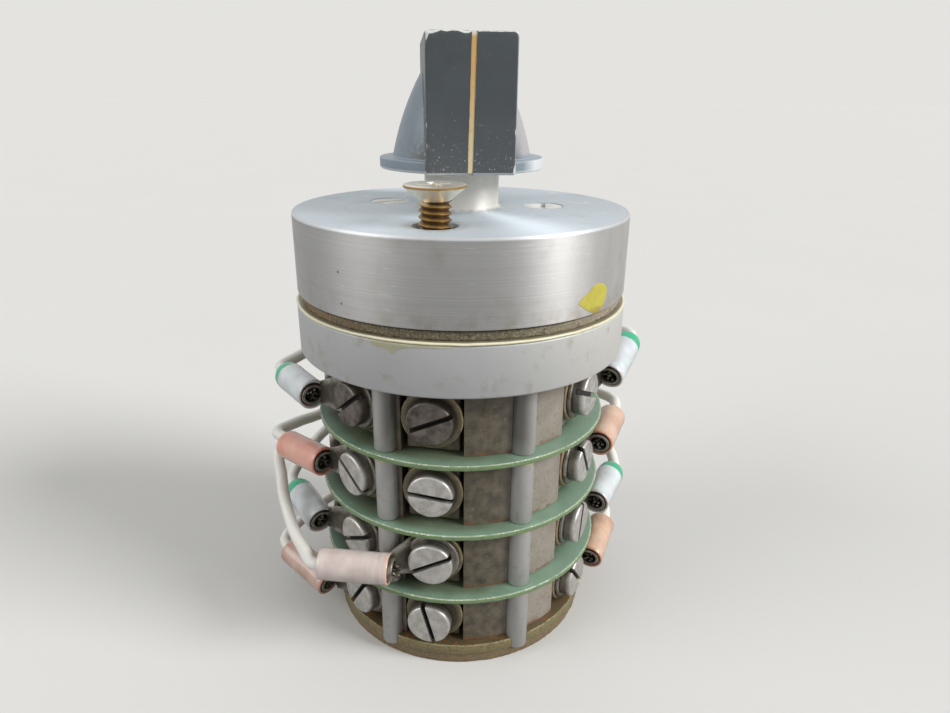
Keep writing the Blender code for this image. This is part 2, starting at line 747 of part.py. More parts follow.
def make_bushing(cover_cutters):
    top = KNOB_BOTTOM - RUN - BUSHING_DROP
    bore = SHAFT_RADIUS + RUN
    bushing = turned(
        "shaft_bushing",
        [
            (BUSHING_RADIUS, top),
            (BUSHING_RADIUS, PLATE_BOTTOM - SEAT),
            (FLANGE_RADIUS, PLATE_BOTTOM - SEAT),
            (FLANGE_RADIUS, FLANGE_BOTTOM),
            (bore, FLANGE_BOTTOM),
            (bore, top),
        ],
        "contact_brass",
        ring=True,
        segments=SHAFT_SEGMENTS,
    )
    cut(bushing, *cover_cutters)


def flat_head_profile(head_radius, rim, shank_radius, length):
    cone = (head_radius - shank_radius) / math.tan(math.radians(FLAT_HEAD_HALF_ANGLE))
    tip = shank_radius * SCREW_TIP
    return [
        (0, 0),
        (head_radius, 0),
        (head_radius, -rim),
        (shank_radius, -rim - cone),
        (shank_radius, -length + shank_radius - tip),
        (tip, -length),
        (0, -length),
    ]


def make_plate_screws():
    length = PLATE_TOP - COVER_HEAD_DROP - FLANGE_BOTTOM - SEAT
    for side, azimuth in COVER_SCREW_AZIMUTHS.items():
        place = upright(azimuth, COVER_SCREW_CIRCLE, PLATE_TOP - COVER_HEAD_DROP)
        profile = flat_head_profile(COVER_HEAD_RADIUS, SEAT, COVER_SHANK_RADIUS, length)
        screw = turned(f"cover_screw_{side}", profile, "bright_steel", place, segments=BORE_SEGMENTS)

        def slot(bm):
            turn = Matrix.Rotation(math.radians(COVER_SLOT_TURNS[side]), 4, "Z")
            box(bm, (COVER_HEAD_RADIUS * 3, SLOT_WIDTH, SLOT_DEPTH * 2), turn)

        cut(screw, solid(f"cover_slot_{side}", slot, matrix=place))
    place = upright(MOUNTING_AZIMUTH, MOUNTING_CIRCLE, PLATE_TOP + MOUNTING_HEAD_TOP)
    head, rim, shank = MOUNTING_HEAD_RADIUS, MOUNTING_HEAD_RIM, MOUNTING_SHANK_RADIUS
    profile = flat_head_profile(head, rim, shank, MOUNTING_LENGTH)
    screw = turned("mounting_screw", profile, "gold_chromate", place, segments=SHAFT_SEGMENTS)

    def recess(turn):
        def build(bm):
            box(bm, (MOUNTING_HEAD_RADIUS, SLOT_WIDTH, SLOT_DEPTH * 3), Matrix.Rotation(turn, 4, "Z"))

        return build

    for number in (0, 1):
        cut(screw, solid(f"cross_recess_{number}", recess(number * math.pi / 2), matrix=place))


def make_shaft(axis):
    bottom = END_PLATE_FLOOR + RUN
    top = KNOB_BOTTOM + KNOB_BORE_DEPTH - RUN
    groove_top = RETAINER_TOP + SEAT
    groove_bottom = RETAINER_TOP - RETAINER_THICK - SEAT
    shaft = turned(
        "shaft",
        [
            (0, top),
            (SHAFT_RADIUS - FIT, top),
            (SHAFT_RADIUS, top - FIT),
            (SHAFT_RADIUS, groove_top),
            (RETAINER_GROOVE_RADIUS, groove_top),
            (RETAINER_GROOVE_RADIUS, groove_bottom),
            (SHAFT_RADIUS, groove_bottom),
            (SHAFT_RADIUS, bottom),
            (0, bottom),
        ],
        "bright_steel",
        parent=axis,
        segments=SHAFT_SEGMENTS,
    )

    def flats(bm):
        low = END_PLATE_THICK + FOOT_DISC_THICK
        high = WAFER_TOP[1]
        for side in (-1, 1):
            place = Matrix.Translation((0, side * (SHAFT_FLAT + SHAFT_RADIUS / 2), (low + high) / 2))
            box(bm, (SHAFT_RADIUS * 3, SHAFT_RADIUS, high - low), place)

    cut(shaft, solid("shaft_flats", flats))


def arc(radius, start, end, steps):
    """Points along an arc about the Z axis, from one azimuth to another."""
    return [outward(start + (end - start) * i / steps) * radius for i in range(steps + 1)]


def flat_outline(name, outlines, thick, finish=None, matrix=None, parent=None):
    """A plate of this thickness whose outline, and any holes in it, are closed lines of points."""
    curve = bpy.data.curves.new(name, "CURVE")
    curve.dimensions = "2D"
    curve.fill_mode = "BOTH"
    curve.extrude = thick / 2
    for points in outlines:
        spline = curve.splines.new("POLY")
        spline.points.add(len(points) - 1)
        for knot, point in zip(spline.points, points):
            knot.co = (point.x, point.y, 0, 1)
        spline.use_cyclic_u = True
    return add_object(name, curve, finish, matrix, parent)


def make_retainer(axis):
    half = (360 - RETAINER_MOUTH) / 2
    outer = arc(RETAINER_RADIUS, -half, half, 18)
    inner = arc(RETAINER_GROOVE_RADIUS + FIT, half, -half, 14)
    flat_outline(
        "retaining_ring",
        [outer + inner],
        RETAINER_THICK,
        "spring_steel",
        raised(RETAINER_TOP - RETAINER_THICK / 2),
        axis,
    )


def make_detent(axis):
    wheel = turned(
        "detent_wheel",
        [
            (WHEEL_RADIUS, WHEEL_BOTTOM + WHEEL_THICK),
            (WHEEL_RADIUS, WHEEL_BOTTOM),
            (SHAFT_RADIUS + FIT, WHEEL_BOTTOM),
            (SHAFT_RADIUS + FIT, WHEEL_BOTTOM + WHEEL_THICK),
        ],
        "bright_steel",
        parent=axis,
        ring=True,
        segments=PLACES * 4,
    )

    def notches(bm):
        circle = WHEEL_RADIUS - WHEEL_NOTCH_DEPTH + WHEEL_NOTCH_RADIUS
        for place in range(PLACES):
            where = upright(GUIDE_AZIMUTH + PITCH * place, circle, WHEEL_MIDDLE)
            cylinder(bm, WHEEL_NOTCH_RADIUS, WHEEL_THICK + OVERCUT, where, BORE_SEGMENTS)

    def tooth(bm):
        inner = SHAFT_RADIUS + 2 * RUN
        height = STOP_TOOTH_HEIGHT + FIT
        bottom = WHEEL_BOTTOM - STOP_TOOTH_HEIGHT
        place = radial_frame(azimuth_of(REST_PLACE), (inner + STOP_TOOTH_REACH) / 2, bottom + height / 2)
        box(bm, (STOP_TOOTH_WIDTH, height, STOP_TOOTH_REACH - inner), place)

    cut(wheel, solid("wheel_notches", notches))
    join(wheel, solid("stop_tooth", tooth))
    solid(
        "detent_ball",
        lambda bm: bmesh.ops.create_icosphere(bm, subdivisions=2, radius=BALL_RADIUS),
        "bright_steel",
        upright(GUIDE_AZIMUTH, BALL_PLACE, WHEEL_MIDDLE),
    )
    start = BALL_PLACE + BALL_RADIUS + SPRING_WIRE_RADIUS + SEAT
    end = GUIDE_BORE_END - SPRING_WIRE_RADIUS - SEAT
    coil = GUIDE_BORE_RADIUS - RUN - SPRING_WIRE_RADIUS
    steps = SPRING_TURNS * SPRING_STEPS
    points = []
    for i in range(steps + 1):
        turn = 2 * math.pi * i / SPRING_STEPS
        points.append(Vector((coil * math.cos(turn), coil * math.sin(turn), (end - start) * i / steps)))
    place = radial_frame(GUIDE_AZIMUTH, start, WHEEL_MIDDLE)
    wire("detent_spring", points, SPRING_WIRE_RADIUS, 0, "spring_steel", place)


def wire(name, points, radius, resolution, finish, matrix=None):
    """A round wire along these points."""
    curve = bpy.data.curves.new(name, "CURVE")
    curve.dimensions = "3D"
    curve.bevel_depth = radius
    curve.bevel_resolution = resolution
    curve.use_fill_caps = True
    spline = curve.splines.new("POLY")
    spline.points.add(len(points) - 1)
    for knot, point in zip(spline.points, points):
        knot.co = (*point, 1)
    return add_object(name, curve, finish, matrix)


def make_rotor(wafer, axis):
    low = WAFER_FLOOR[wafer] + ROTOR_END_GAP
    high = WAFER_TOP[wafer] - ROTOR_END_GAP
    flange_top = (low + high) / 2
    flange_bottom = flange_top - ROTOR_FLANGE_THICK
    rotor = turned(
        f"rotor_{wafer}",
        [
            (0, high),
            (ROTOR_HUB_RADIUS, high),
            (ROTOR_HUB_RADIUS, flange_top),
            (ROTOR_FLANGE_RADIUS, flange_top),
            (ROTOR_FLANGE_RADIUS, flange_bottom),
            (ROTOR_HUB_RADIUS, flange_bottom),
            (ROTOR_HUB_RADIUS, low),
            (0, low),
        ],
        "rotor_moulding",
        parent=axis,
        segments=SHAFT_SEGMENTS,
    )
    half_flat = SHAFT_FLAT + FIT
    bore = SHAFT_RADIUS + FIT
    corner = math.degrees(math.acos(half_flat / bore))

    def bore_prism(bm):
        points = arc(bore, corner, 180 - corner, 6) + arc(bore, 180 + corner, 360 - corner, 6)
        verts = [bm.verts.new((point.x, point.y, low - OVERCUT)) for point in points]
        face = bm.faces.new(verts)
        made = bmesh.ops.extrude_face_region(bm, geom=[face])
        top = [item for item in made["geom"] if isinstance(item, bmesh.types.BMVert)]
        bmesh.ops.translate(bm, verts=top, vec=(0, 0, high - low + 2 * OVERCUT))
        bmesh.ops.recalc_face_normals(bm, faces=bm.faces)

    cut(rotor, solid(f"rotor_bore_{wafer}", bore_prism))
    seat = flange_top + SEAT
    blade = solid(
        f"wiper_{wafer}",
        lambda bm: box(
            bm,
            (WIPER_WIDTH, WIPER_THICK, WIPER_REACH - WIPER_INNER),
            radial_frame(azimuth_of(REST_PLACE), (WIPER_REACH + WIPER_INNER) / 2, seat + WIPER_THICK / 2),
        ),
        "contact_brass",
        parent=axis,
    )

    def contact(bm):
        bottom = seat + WIPER_THICK / 2
        place = upright(azimuth_of(REST_PLACE), WIPER_CONTACT_CIRCLE, bottom + WIPER_CONTACT_HEIGHT / 2)
        cylinder(bm, WIPER_CONTACT_RADIUS, WIPER_CONTACT_HEIGHT, place, BORE_SEGMENTS, WIPER_CONTACT_TIP)

    join(blade, solid(f"wiper_contact_{wafer}", contact))


def dome_profile():
    """Skirt and dome from the top down: the dome's side is a shallow arc from its foot to its top."""
    steps = 4
    foot = Vector((DOME_FOOT_RADIUS, SKIRT_THICK))
    top = Vector((DOME_TOP_RADIUS, DOME_HEIGHT))
    along = top - foot
    outwards = Vector((along.y, -along.x)).normalized()
    side = []
    for i in range(steps + 1):
        share = i / steps
        side.append(foot + along * share + outwards * DOME_BULGE * 4 * share * (1 - share))
    profile = [(0, DOME_HEIGHT)] + [tuple(point) for point in reversed(side)]
    return profile + [
        (SKIRT_RADIUS - SKIRT_EDGE, SKIRT_THICK),
        (SKIRT_RADIUS, SKIRT_THICK - SKIRT_EDGE),
        (SKIRT_RADIUS, 0),
        (0, 0),
    ]


def make_knob(axis):
    place = raised(KNOB_BOTTOM)
    knob = turned("knob", dome_profile(), "knob_enamel", place, axis)
    bar = solid(
        "knob_bar",
        lambda bm: box(bm, (BAR_WIDTH, BAR_HALF_LENGTH * 2, BAR_HEIGHT), raised(BAR_HEIGHT / 2)),
        matrix=place,
    )
    bevel = bar.modifiers.new("edges", "BEVEL")
    bevel.width = BAR_EDGE
    bevel.segments = 1
    bore_radius = SHAFT_RADIUS + FIT
    depth = KNOB_BORE_DEPTH
    outline = [(0, depth), (bore_radius, depth), (bore_radius, -OVERCUT), (0, -OVERCUT)]
    bore = turned("knob_bore", outline, matrix=place, segments=SHAFT_SEGMENTS)

    def index_groove(bm):
        front = Matrix.Translation((0, -BAR_HALF_LENGTH, BAR_HEIGHT / 2))
        box(bm, (INDEX_WIDTH, INDEX_DEPTH * 2, BAR_HEIGHT + OVERCUT), front)

    def top_groove(bm):
        top = Matrix.Translation((0, -BAR_HALF_LENGTH / 2 - OVERCUT / 2, BAR_HEIGHT))
        box(bm, (INDEX_WIDTH, BAR_HALF_LENGTH + OVERCUT, INDEX_DEPTH * 2), top)

    def screw_hole(bm):
        middle = radial_frame(SET_SCREW_AZIMUTH, SHAFT_RADIUS + SKIRT_RADIUS / 2, SET_SCREW_HEIGHT)
        cylinder(bm, SET_SCREW_RADIUS + FIT, SKIRT_RADIUS, middle, BORE_SEGMENTS)

    join(knob, bar)
    cutters = [
        bore,
        solid("index_groove", index_groove, matrix=place),
        solid("index_groove_top", top_groove, matrix=place),
        solid("set_screw_hole", screw_hole, matrix=place),
    ]
    cut(knob, *cutters)
    grub_place = place @ radial_frame(SET_SCREW_AZIMUTH, SHAFT_RADIUS + SEAT, SET_SCREW_HEIGHT)
    grub = solid(
        "knob_set_screw",
        lambda bm: cylinder(bm, SET_SCREW_RADIUS, SET_SCREW_LENGTH, raised(SET_SCREW_LENGTH / 2)),
        "spring_steel",
        grub_place,
        axis,
    )
    socket = solid(
        "set_screw_socket",
        lambda bm: cylinder(bm, SET_SCREW_SOCKET, OVERCUT, raised(SET_SCREW_LENGTH), 6),
        matrix=grub_place,
    )
    cut(grub, socket)
    for helper in (bar, socket, *cutters):
        helper.parent = axis


def sleeve_frame(name):
    """At the mouth of this lug's sleeve, with Z along the sleeve towards its wires and Y near upright."""
    wafer, place, side, out, reach, lift, bend, rise = LUGS[name]
    azimuth = azimuth_of(place)
    bend, rise = math.radians(bend), math.radians(rise)
    flat = sideways(azimuth) * side * math.cos(bend) + outward(azimuth) * math.sin(bend)
    along = (flat * math.cos(rise) + Vector((0, 0, math.sin(rise)))).normalized()
    across = Vector((0, 0, 1)).cross(along).normalized()
    origin = outward(azimuth) * (LUG_SEAT_RADIUS + out * MM) + sideways(azimuth) * side * reach * MM
    origin.z = terminal_height(wafer) + lift * MM
    return frame(origin, across, along.cross(across), along)


def make_lug(name):
    wafer, place, side = LUGS[name][:3]
    azimuth = azimuth_of(place)
    terminal = radial_frame(azimuth, LUG_SEAT_RADIUS, terminal_height(wafer))
    mouth = sleeve_frame(name)
    lug = solid(
        f"lug_{name}",
        lambda bm: cylinder(bm, LUG_RING_RADIUS, LUG_THICK, raised(LUG_THICK / 2), BORE_SEGMENTS),
        "tinned_lug",
        terminal,
    )
    centre = terminal @ Vector((0, 0, LUG_THICK / 2))
    barrel_start = mouth @ Vector((0, 0, -BARREL_PROUD))
    inward = -outward(azimuth) * (BARREL_RADIUS - NECK_THICK)
    start = centre + sideways(azimuth) * side * NECK_START
    end = barrel_start + inward + mouth.col[2].to_3d() * BARREL_PROUD / 2
    run = (end - start).normalized()
    across = outward(azimuth).cross(run).normalized()
    normal = run.cross(across).normalized()
    place = frame((start + end) / 2, across, normal, run)
    length = (end - start).length

    def neck(bm):
        box(bm, (NECK_WIDTH, NECK_THICK, length), place)
        for vert in bm.verts:
            if (place.inverted() @ vert.co).z > 0:
                inner = place.inverted() @ vert.co
                inner.x *= NECK_END_WIDTH / NECK_WIDTH
                vert.co = place @ inner

    def barrel_tube(bm):
        middle = mouth @ raised((BARREL_LENGTH - BARREL_PROUD) / 2)
        cylinder(bm, BARREL_RADIUS, BARREL_LENGTH + BARREL_PROUD, middle)

    barrel = solid(f"barrel_{name}", barrel_tube)
    bore = solid(
        f"barrel_bore_{name}",
        lambda bm: cylinder(bm, BARREL_BORE_RADIUS, BARREL_LENGTH * 2, mouth @ raised(BARREL_LENGTH / 2)),
    )
    hole = solid(
        f"lug_hole_{name}",
        lambda bm: cylinder(bm, SCREW_RADIUS + FIT, OVERCUT * 2, terminal),
    )
    join(lug, solid(f"neck_{name}", neck), barrel)
    cut(lug, bore, hole)
    finish = "white_sleeve" if name in WHITE_SLEEVES else "pink_sleeve"
    turned(
        f"sleeve_{name}",
        [
            (SLEEVE_RADIUS, SLEEVE_LENGTH),
            (SLEEVE_RADIUS, 0),
            (SLEEVE_BORE_RADIUS, 0),
            (SLEEVE_BORE_RADIUS, SLEEVE_LENGTH),
        ],
        finish,
        mouth,
        ring=True,
        segments=SLEEVE_SEGMENTS,
    )


def smooth_route(knots, spacing):
    """Points at about this spacing on one smooth curve through the knots."""
    padded = [knots[0] * 2 - knots[1], *knots, knots[-1] * 2 - knots[-2]]
    points = [knots[0]]
    for a, b, c, d in zip(padded, padded[1:], padded[2:], padded[3:]):
        steps = max(2, round((c - b).length / spacing))
        for i in range(1, steps + 1):
            t = i / steps
            bend = (2 * a - 5 * b + 4 * c - d) * t**2 + (3 * b - a - 3 * c + d) * t**3
            points.append(b + ((c - a) * t + bend) / 2)
    return points


def sleeve_exit(name, offset):
    """Points on the wire from the end of the barrel, out of the sleeve's far end and just past it."""
    mouth = sleeve_frame(name)
    levels = (BARREL_LENGTH + RUN, SLEEVE_LENGTH - WIRE_STRAIGHT, SLEEVE_LENGTH + WIRE_STRAIGHT)
    return [mouth @ Vector((0, offset * MM, z)) for z in levels]


def make_jumper(name, start, end, route):
    knots = sleeve_exit(*start)
    level = terminal_height(LUGS[start[0]][0])
    for azimuth, out, up in route:
        knots.append(outward(azimuth) * (DISC_RADIUS + out * MM) + Vector((0, 0, level + up * MM)))
    knots += reversed(sleeve_exit(*end))
    wire(name, smooth_route(knots, WIRE_SPACING), WIRE_RADIUS, 1, "wire_cream")


def main():
    selector = bpy.data.objects.new("selector_axis", None)
    PARTS.objects.link(selector)
    knob_axis = bpy.data.objects.new("knob_axis", None)
    PARTS.objects.link(knob_axis)
    knob_axis.parent = selector

    rod_cutter, spacer_cutter, centre_cutter = make_round_cutters()
    make_foot(rod_cutter, spacer_cutter, centre_cutter)
    make_discs(rod_cutter, centre_cutter)
    for wafer in WAFER_HEIGHTS:
        make_wafer(wafer, spacer_cutter)
    for number, azimuth in enumerate(ROD_AZIMUTHS, 1):
        make_tie_rod(number, azimuth)
    make_housing(rod_cutter, centre_cutter)
    make_seals()
    cover_cutters = [
        countersunk_cutter(
            f"cover_hole_{side}",
            azimuth,
            COVER_SCREW_CIRCLE,
            COVER_HEAD_RADIUS + FIT,
            COVER_SHANK_RADIUS + FIT,
            FLANGE_BOTTOM - OVERCUT,
        )
        for side, azimuth in COVER_SCREW_AZIMUTHS.items()
    ]
    make_plate(cover_cutters)
    make_bushing(cover_cutters)
    make_plate_screws()
    make_shaft(selector)
    make_retainer(selector)
    make_detent(selector)
    for wafer in WAFER_HEIGHTS:
        make_rotor(wafer, selector)
    make_knob(knob_axis)
    knob_axis.rotation_euler.z = math.radians(KNOB_TURN)
    for name in LUGS:
        make_lug(name)
    for name, (start, end, route) in WIRES.items():
        make_jumper(name, start, end, route)


main()
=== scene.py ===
# %% [markdown]
# A rotary wafer switch, dressed for its picture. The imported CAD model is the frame: it says where
# every piece is and which pieces turn with the knob. This lesson rebuilds each piece you can see,
# with real edges, threads, slots and wear, and lays it over the frame in metres.

# %% Load the frame
import math

import bpy
from mathutils import Matrix, Vector, noise


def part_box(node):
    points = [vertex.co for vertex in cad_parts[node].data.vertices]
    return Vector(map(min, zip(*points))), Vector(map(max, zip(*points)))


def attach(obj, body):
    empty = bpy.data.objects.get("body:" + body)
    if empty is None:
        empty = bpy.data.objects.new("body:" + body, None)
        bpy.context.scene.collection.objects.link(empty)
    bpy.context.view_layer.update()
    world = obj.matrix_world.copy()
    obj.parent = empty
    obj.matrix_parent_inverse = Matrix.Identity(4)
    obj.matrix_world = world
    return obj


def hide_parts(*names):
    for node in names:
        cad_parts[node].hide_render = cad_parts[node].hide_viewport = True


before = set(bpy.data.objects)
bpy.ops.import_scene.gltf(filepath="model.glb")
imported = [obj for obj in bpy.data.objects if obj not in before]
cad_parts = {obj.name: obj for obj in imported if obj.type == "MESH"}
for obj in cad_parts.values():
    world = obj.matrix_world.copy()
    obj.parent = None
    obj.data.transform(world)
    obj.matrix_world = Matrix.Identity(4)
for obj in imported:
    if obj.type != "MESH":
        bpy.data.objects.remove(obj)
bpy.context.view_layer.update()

# %% [markdown]
# Sizes are easier to read in millimetres, but Blender works in metres here, so every length is
# multiplied once by MM. A place round the switch is an azimuth: 0 degrees faces the camera and it
# grows towards the right hand.

# %% Places round the switch
MM = 0.001
UP = Vector((0, 0, 1))


def outward(azimuth):
    angle = math.radians(azimuth)
    return Vector((math.sin(angle), -math.cos(angle), 0))


def sideways(azimuth):
    angle = math.radians(azimuth)
    return Vector((math.cos(angle), math.sin(angle), 0))


def axes(origin, x_axis, y_axis, z_axis):
    """A placing matrix from an origin in metres and three directions."""
    turned_axes = Matrix((x_axis, y_axis, z_axis)).transposed().to_4x4()
    return Matrix.Translation(origin) @ turned_axes


def facing_out(azimuth, radius, height, turn=0.0):
    """Local Z points outward and local Y up, at a radius and a height in mm."""
    origin = outward(azimuth) * radius * MM + UP * height * MM
    place = axes(origin, sideways(azimuth), UP, outward(azimuth))
    return place @ Matrix.Rotation(math.radians(turn), 4, "Z")


def standing(azimuth, radius, height, turn=0.0):
    """Local Z stays up, at a radius and a height in mm."""
    origin = outward(azimuth) * radius * MM + UP * height * MM
    return Matrix.Translation(origin) @ Matrix.Rotation(math.radians(turn), 4, "Z")


print("azimuth 90 points to", tuple(round(value, 2) for value in outward(90)))

# %% [markdown]
# The camera stands where the photographer's did, a hand's breadth in front of the switch and looking
# down at it by about 21 degrees. Its field of view comes from the photograph's focal length of 680
# pixels over a width of 950.

# %% Camera
PHOTO_WIDTH = 950
FOCAL_PIXELS = 680
SENSOR_WIDTH = 36
CAMERA_PLACE = Vector((2.15, -99.10, 79.17)) * MM
LOOK_DOWN = 0.3655
CAMERA_ROLL = 0.0106
NEAREST_SEEN = 5 * MM

right = Vector((1, 0, 0))
ahead = Vector((0, math.cos(LOOK_DOWN), -math.sin(LOOK_DOWN)))
above = Vector((0, math.sin(LOOK_DOWN), math.cos(LOOK_DOWN)))
camera_x = right * math.cos(CAMERA_ROLL) + above * math.sin(CAMERA_ROLL)
camera_y = above * math.cos(CAMERA_ROLL) - right * math.sin(CAMERA_ROLL)
lens = bpy.data.cameras.new("photo_camera")
lens.sensor_width = SENSOR_WIDTH
lens.lens = SENSOR_WIDTH * FOCAL_PIXELS / PHOTO_WIDTH
lens.clip_start = NEAREST_SEEN
camera = bpy.data.objects.new("photo_camera", lens)
bpy.context.scene.collection.objects.link(camera)
camera.matrix_world = axes(CAMERA_PLACE, camera_x, camera_y, -ahead)
bpy.context.scene.camera = camera
bpy.context.scene.view_settings.view_transform = "Standard"
print("lens in mm", round(lens.lens, 2))

# %% [markdown]
# Every piece here is modelled as by hand: a primitive goes in at its size, and edit mode shapes it.
# The helpers below are the few moves that repeat. Operators act on all that is selected, so each
# helper clears the selection first.

# %% Select one thing
def take(piece):
    """Leave edit mode and make this the only selected object."""
    if bpy.context.object and bpy.context.object.mode != "OBJECT":
        bpy.ops.object.mode_set(mode="OBJECT")
    bpy.ops.object.select_all(action="DESELECT")
    bpy.context.tool_settings.mesh_select_mode = (True, False, False)
    if piece:
        piece.select_set(True)
        bpy.context.view_layer.objects.active = piece
    return piece


def pick(piece, rule, kind="FACE"):
    """Go into edit mode with only the faces or edges selected that the rule says."""
    take(piece)
    data = piece.data
    for group in (data.vertices, data.edges, data.polygons):
        group.foreach_set("select", [False] * len(group))
    group = data.polygons if kind == "FACE" else data.edges
    for item in group:
        item.select = rule(item)
    bpy.context.tool_settings.mesh_select_mode = (False, kind == "EDGE", kind == "FACE")
    bpy.ops.object.mode_set(mode="EDIT")


def settle(piece, place):
    """Move a piece to its place and put that place into its mesh."""
    take(piece)
    piece.matrix_world = place @ piece.matrix_world
    bpy.ops.object.transform_apply(location=True, rotation=True, scale=True)
    return piece


take(None)
print("selected now", len(bpy.context.selected_objects))

# %% [markdown]
# Most of this switch came off a lathe or out of a round mould. Such a shape is one outline spun
# about its axis: a single point is extruded along the outline, and the line of points is spun.

# %% Turn an outline into a solid
ROUND = 96
CLOSE = 1e-6


def turned(name, outline, steps=ROUND):
    """Spin an outline of (radius, height) points in mm about Z; it closes on itself or on the axis."""
    take(None)
    start = Vector((outline[0][0], 0, outline[0][1])) * MM
    bpy.ops.mesh.primitive_plane_add(size=MM, location=start)
    piece = settle(bpy.context.object, Matrix.Identity(4))
    piece.name = piece.data.name = name
    bpy.ops.object.mode_set(mode="EDIT")
    bpy.ops.mesh.select_all(action="SELECT")
    bpy.ops.mesh.merge(type="CENTER")
    for (radius, height), (next_radius, next_height) in zip(outline, outline[1:]):
        step = ((next_radius - radius) * MM, 0, (next_height - height) * MM)
        bpy.ops.mesh.extrude_vertices_move(TRANSFORM_OT_translate={"value": step})
    bpy.ops.mesh.select_all(action="SELECT")
    bpy.ops.mesh.spin(steps=steps, angle=math.tau, center=(0, 0, 0), axis=(0, 0, 1))
    bpy.ops.mesh.select_all(action="SELECT")
    bpy.ops.mesh.remove_doubles(threshold=CLOSE)
    bpy.ops.mesh.normals_make_consistent(inside=False)
    bpy.ops.object.mode_set(mode="OBJECT")
    return piece


def peg(name, radius, low, high, steps=32):
    """A plain round solid about Z, mostly to cut with."""
    return turned(name, [(0, high), (radius, high), (radius, low), (0, low)], steps)


def rim(radius, height, size, start, end, steps=3):
    """Points of a small rounded corner about a centre, from one angle to another in degrees."""
    points = []
    for step in range(steps + 1):
        angle = math.radians(start + (end - start) * step / steps)
        points.append((radius + size * math.cos(angle), height + size * math.sin(angle)))
    return points


def top_corner(radius, height, size, steps=3):
    """A rounded corner, from a top face out and down to a wall."""
    return rim(radius - size, height - size, size, 90, 0, steps)


def low_corner(radius, height, size, steps=3):
    """A rounded corner, from a wall down and in to a bottom face."""
    return rim(radius - size, height + size, size, 0, -90, steps)


print("a rounded corner has", len(top_corner(10, 10, 1)), "points")


# %% Blocks, cuts, unions and soft edges
def block(name, size, place=Matrix.Identity(4), cuts=0):
    """A box with its size in mm, divided if something is to be shaped from it."""
    take(None)
    bpy.ops.mesh.primitive_cube_add(size=1)
    piece = bpy.context.object
    piece.name = piece.data.name = name
    piece.scale = Vector(size) * MM
    settle(piece, Matrix.Identity(4))
    if cuts:
        pick(piece, lambda face: True)
        bpy.ops.mesh.subdivide(number_cuts=cuts)
    return settle(piece, place)


def modify(piece, kind, **settings):
    """Add one modifier and apply it."""
    take(piece)
    made = piece.modifiers.new(kind.lower(), kind)
    for key, value in settings.items():
        setattr(made, key, value)
    bpy.ops.object.modifier_apply(modifier=made.name)
    return piece


def carve(piece, *cutters, operation="DIFFERENCE"):
    """Cut with, or fuse with, other solids, which are used up."""
    for cutter in cutters:
        modify(piece, "BOOLEAN", operation=operation, solver="EXACT", object=cutter)
        bpy.data.objects.remove(cutter)
    return piece


def soften(piece, width, segments=2, angle=35):
    """Round the sharp edges, as a tool or a mould leaves them. The width is in mm."""
    return modify(
        piece, "BEVEL", width=width * MM, segments=segments, limit_method="ANGLE",
        angle_limit=math.radians(angle), use_clamp_overlap=True,
    )


# %% Copies, joined pieces, and vertices moved or noted one by one
def gather(name, pieces):
    """Join several objects into one."""
    take(pieces[0])
    for piece in pieces:
        piece.select_set(True)
    if len(pieces) > 1:
        bpy.ops.object.join()
    joined = bpy.context.object
    joined.name = joined.data.name = name
    return joined


def copy_of(model, name, place):
    """Another of the same, with its own mesh, at its own place."""
    made = model.copy()
    made.data = model.data.copy()
    made.name = made.data.name = name
    bpy.context.scene.collection.objects.link(made)
    return settle(made, place)


def push(piece, rule):
    """Move each vertex by what the rule gives for its place, all in mm."""
    for vertex in piece.data.vertices:
        vertex.co += rule(vertex.co / MM) * MM
    piece.data.update()
    return piece


def mark(piece, name, rule):
    """Note a number at each vertex for a finish to read, from the vertex's place in mm."""
    notes = piece.data.attributes.new(name, "FLOAT", "POINT")
    notes.data.foreach_set("value", [rule(vertex.co / MM) for vertex in piece.data.vertices])
    return piece


# %% The last step of every piece
def finished(piece, finish, body, slot, *nodes, smooth=32, flat=False):
    """Material, shading, the body it moves with and the CAD nodes that it stands for; the slot is not
    used. Wide flat faces beside small soft edges keep their flat shading if asked to."""
    take(piece)
    if finish:
        piece.data.materials.clear()
        piece.data.materials.append(finish)
    bpy.ops.object.shade_smooth_by_angle(angle=math.radians(smooth))
    if flat:
        modify(piece, "WEIGHTED_NORMAL", keep_sharp=True)
    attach(piece, body)
    if nodes:
        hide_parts(*nodes)
    print(piece.name, len(piece.data.polygons), "faces")
    return piece


# %% [markdown]
# A finish is a recipe of layers, each one a small group of nodes: a ground colour, mottling,
# specks, wear. The class below keeps the plumbing short, so that each recipe later reads like a
# list of what the eye sees. All patterns read the piece's own coordinates, so they stay put when
# the knob turns.

# %% A colour, as a shader wants it
def paint(red, green, blue):
    """A colour read off with a picker, as the linear values that the shader wants."""
    linear = []
    for value in (red, green, blue):
        share = value / 255
        linear.append(share / 12.92 if share <= 0.04045 else ((share + 0.055) / 1.055) ** 2.4)
    return (*linear, 1.0)


print("the mould's grey-brown is", tuple(round(value, 3) for value in paint(150, 141, 131)))


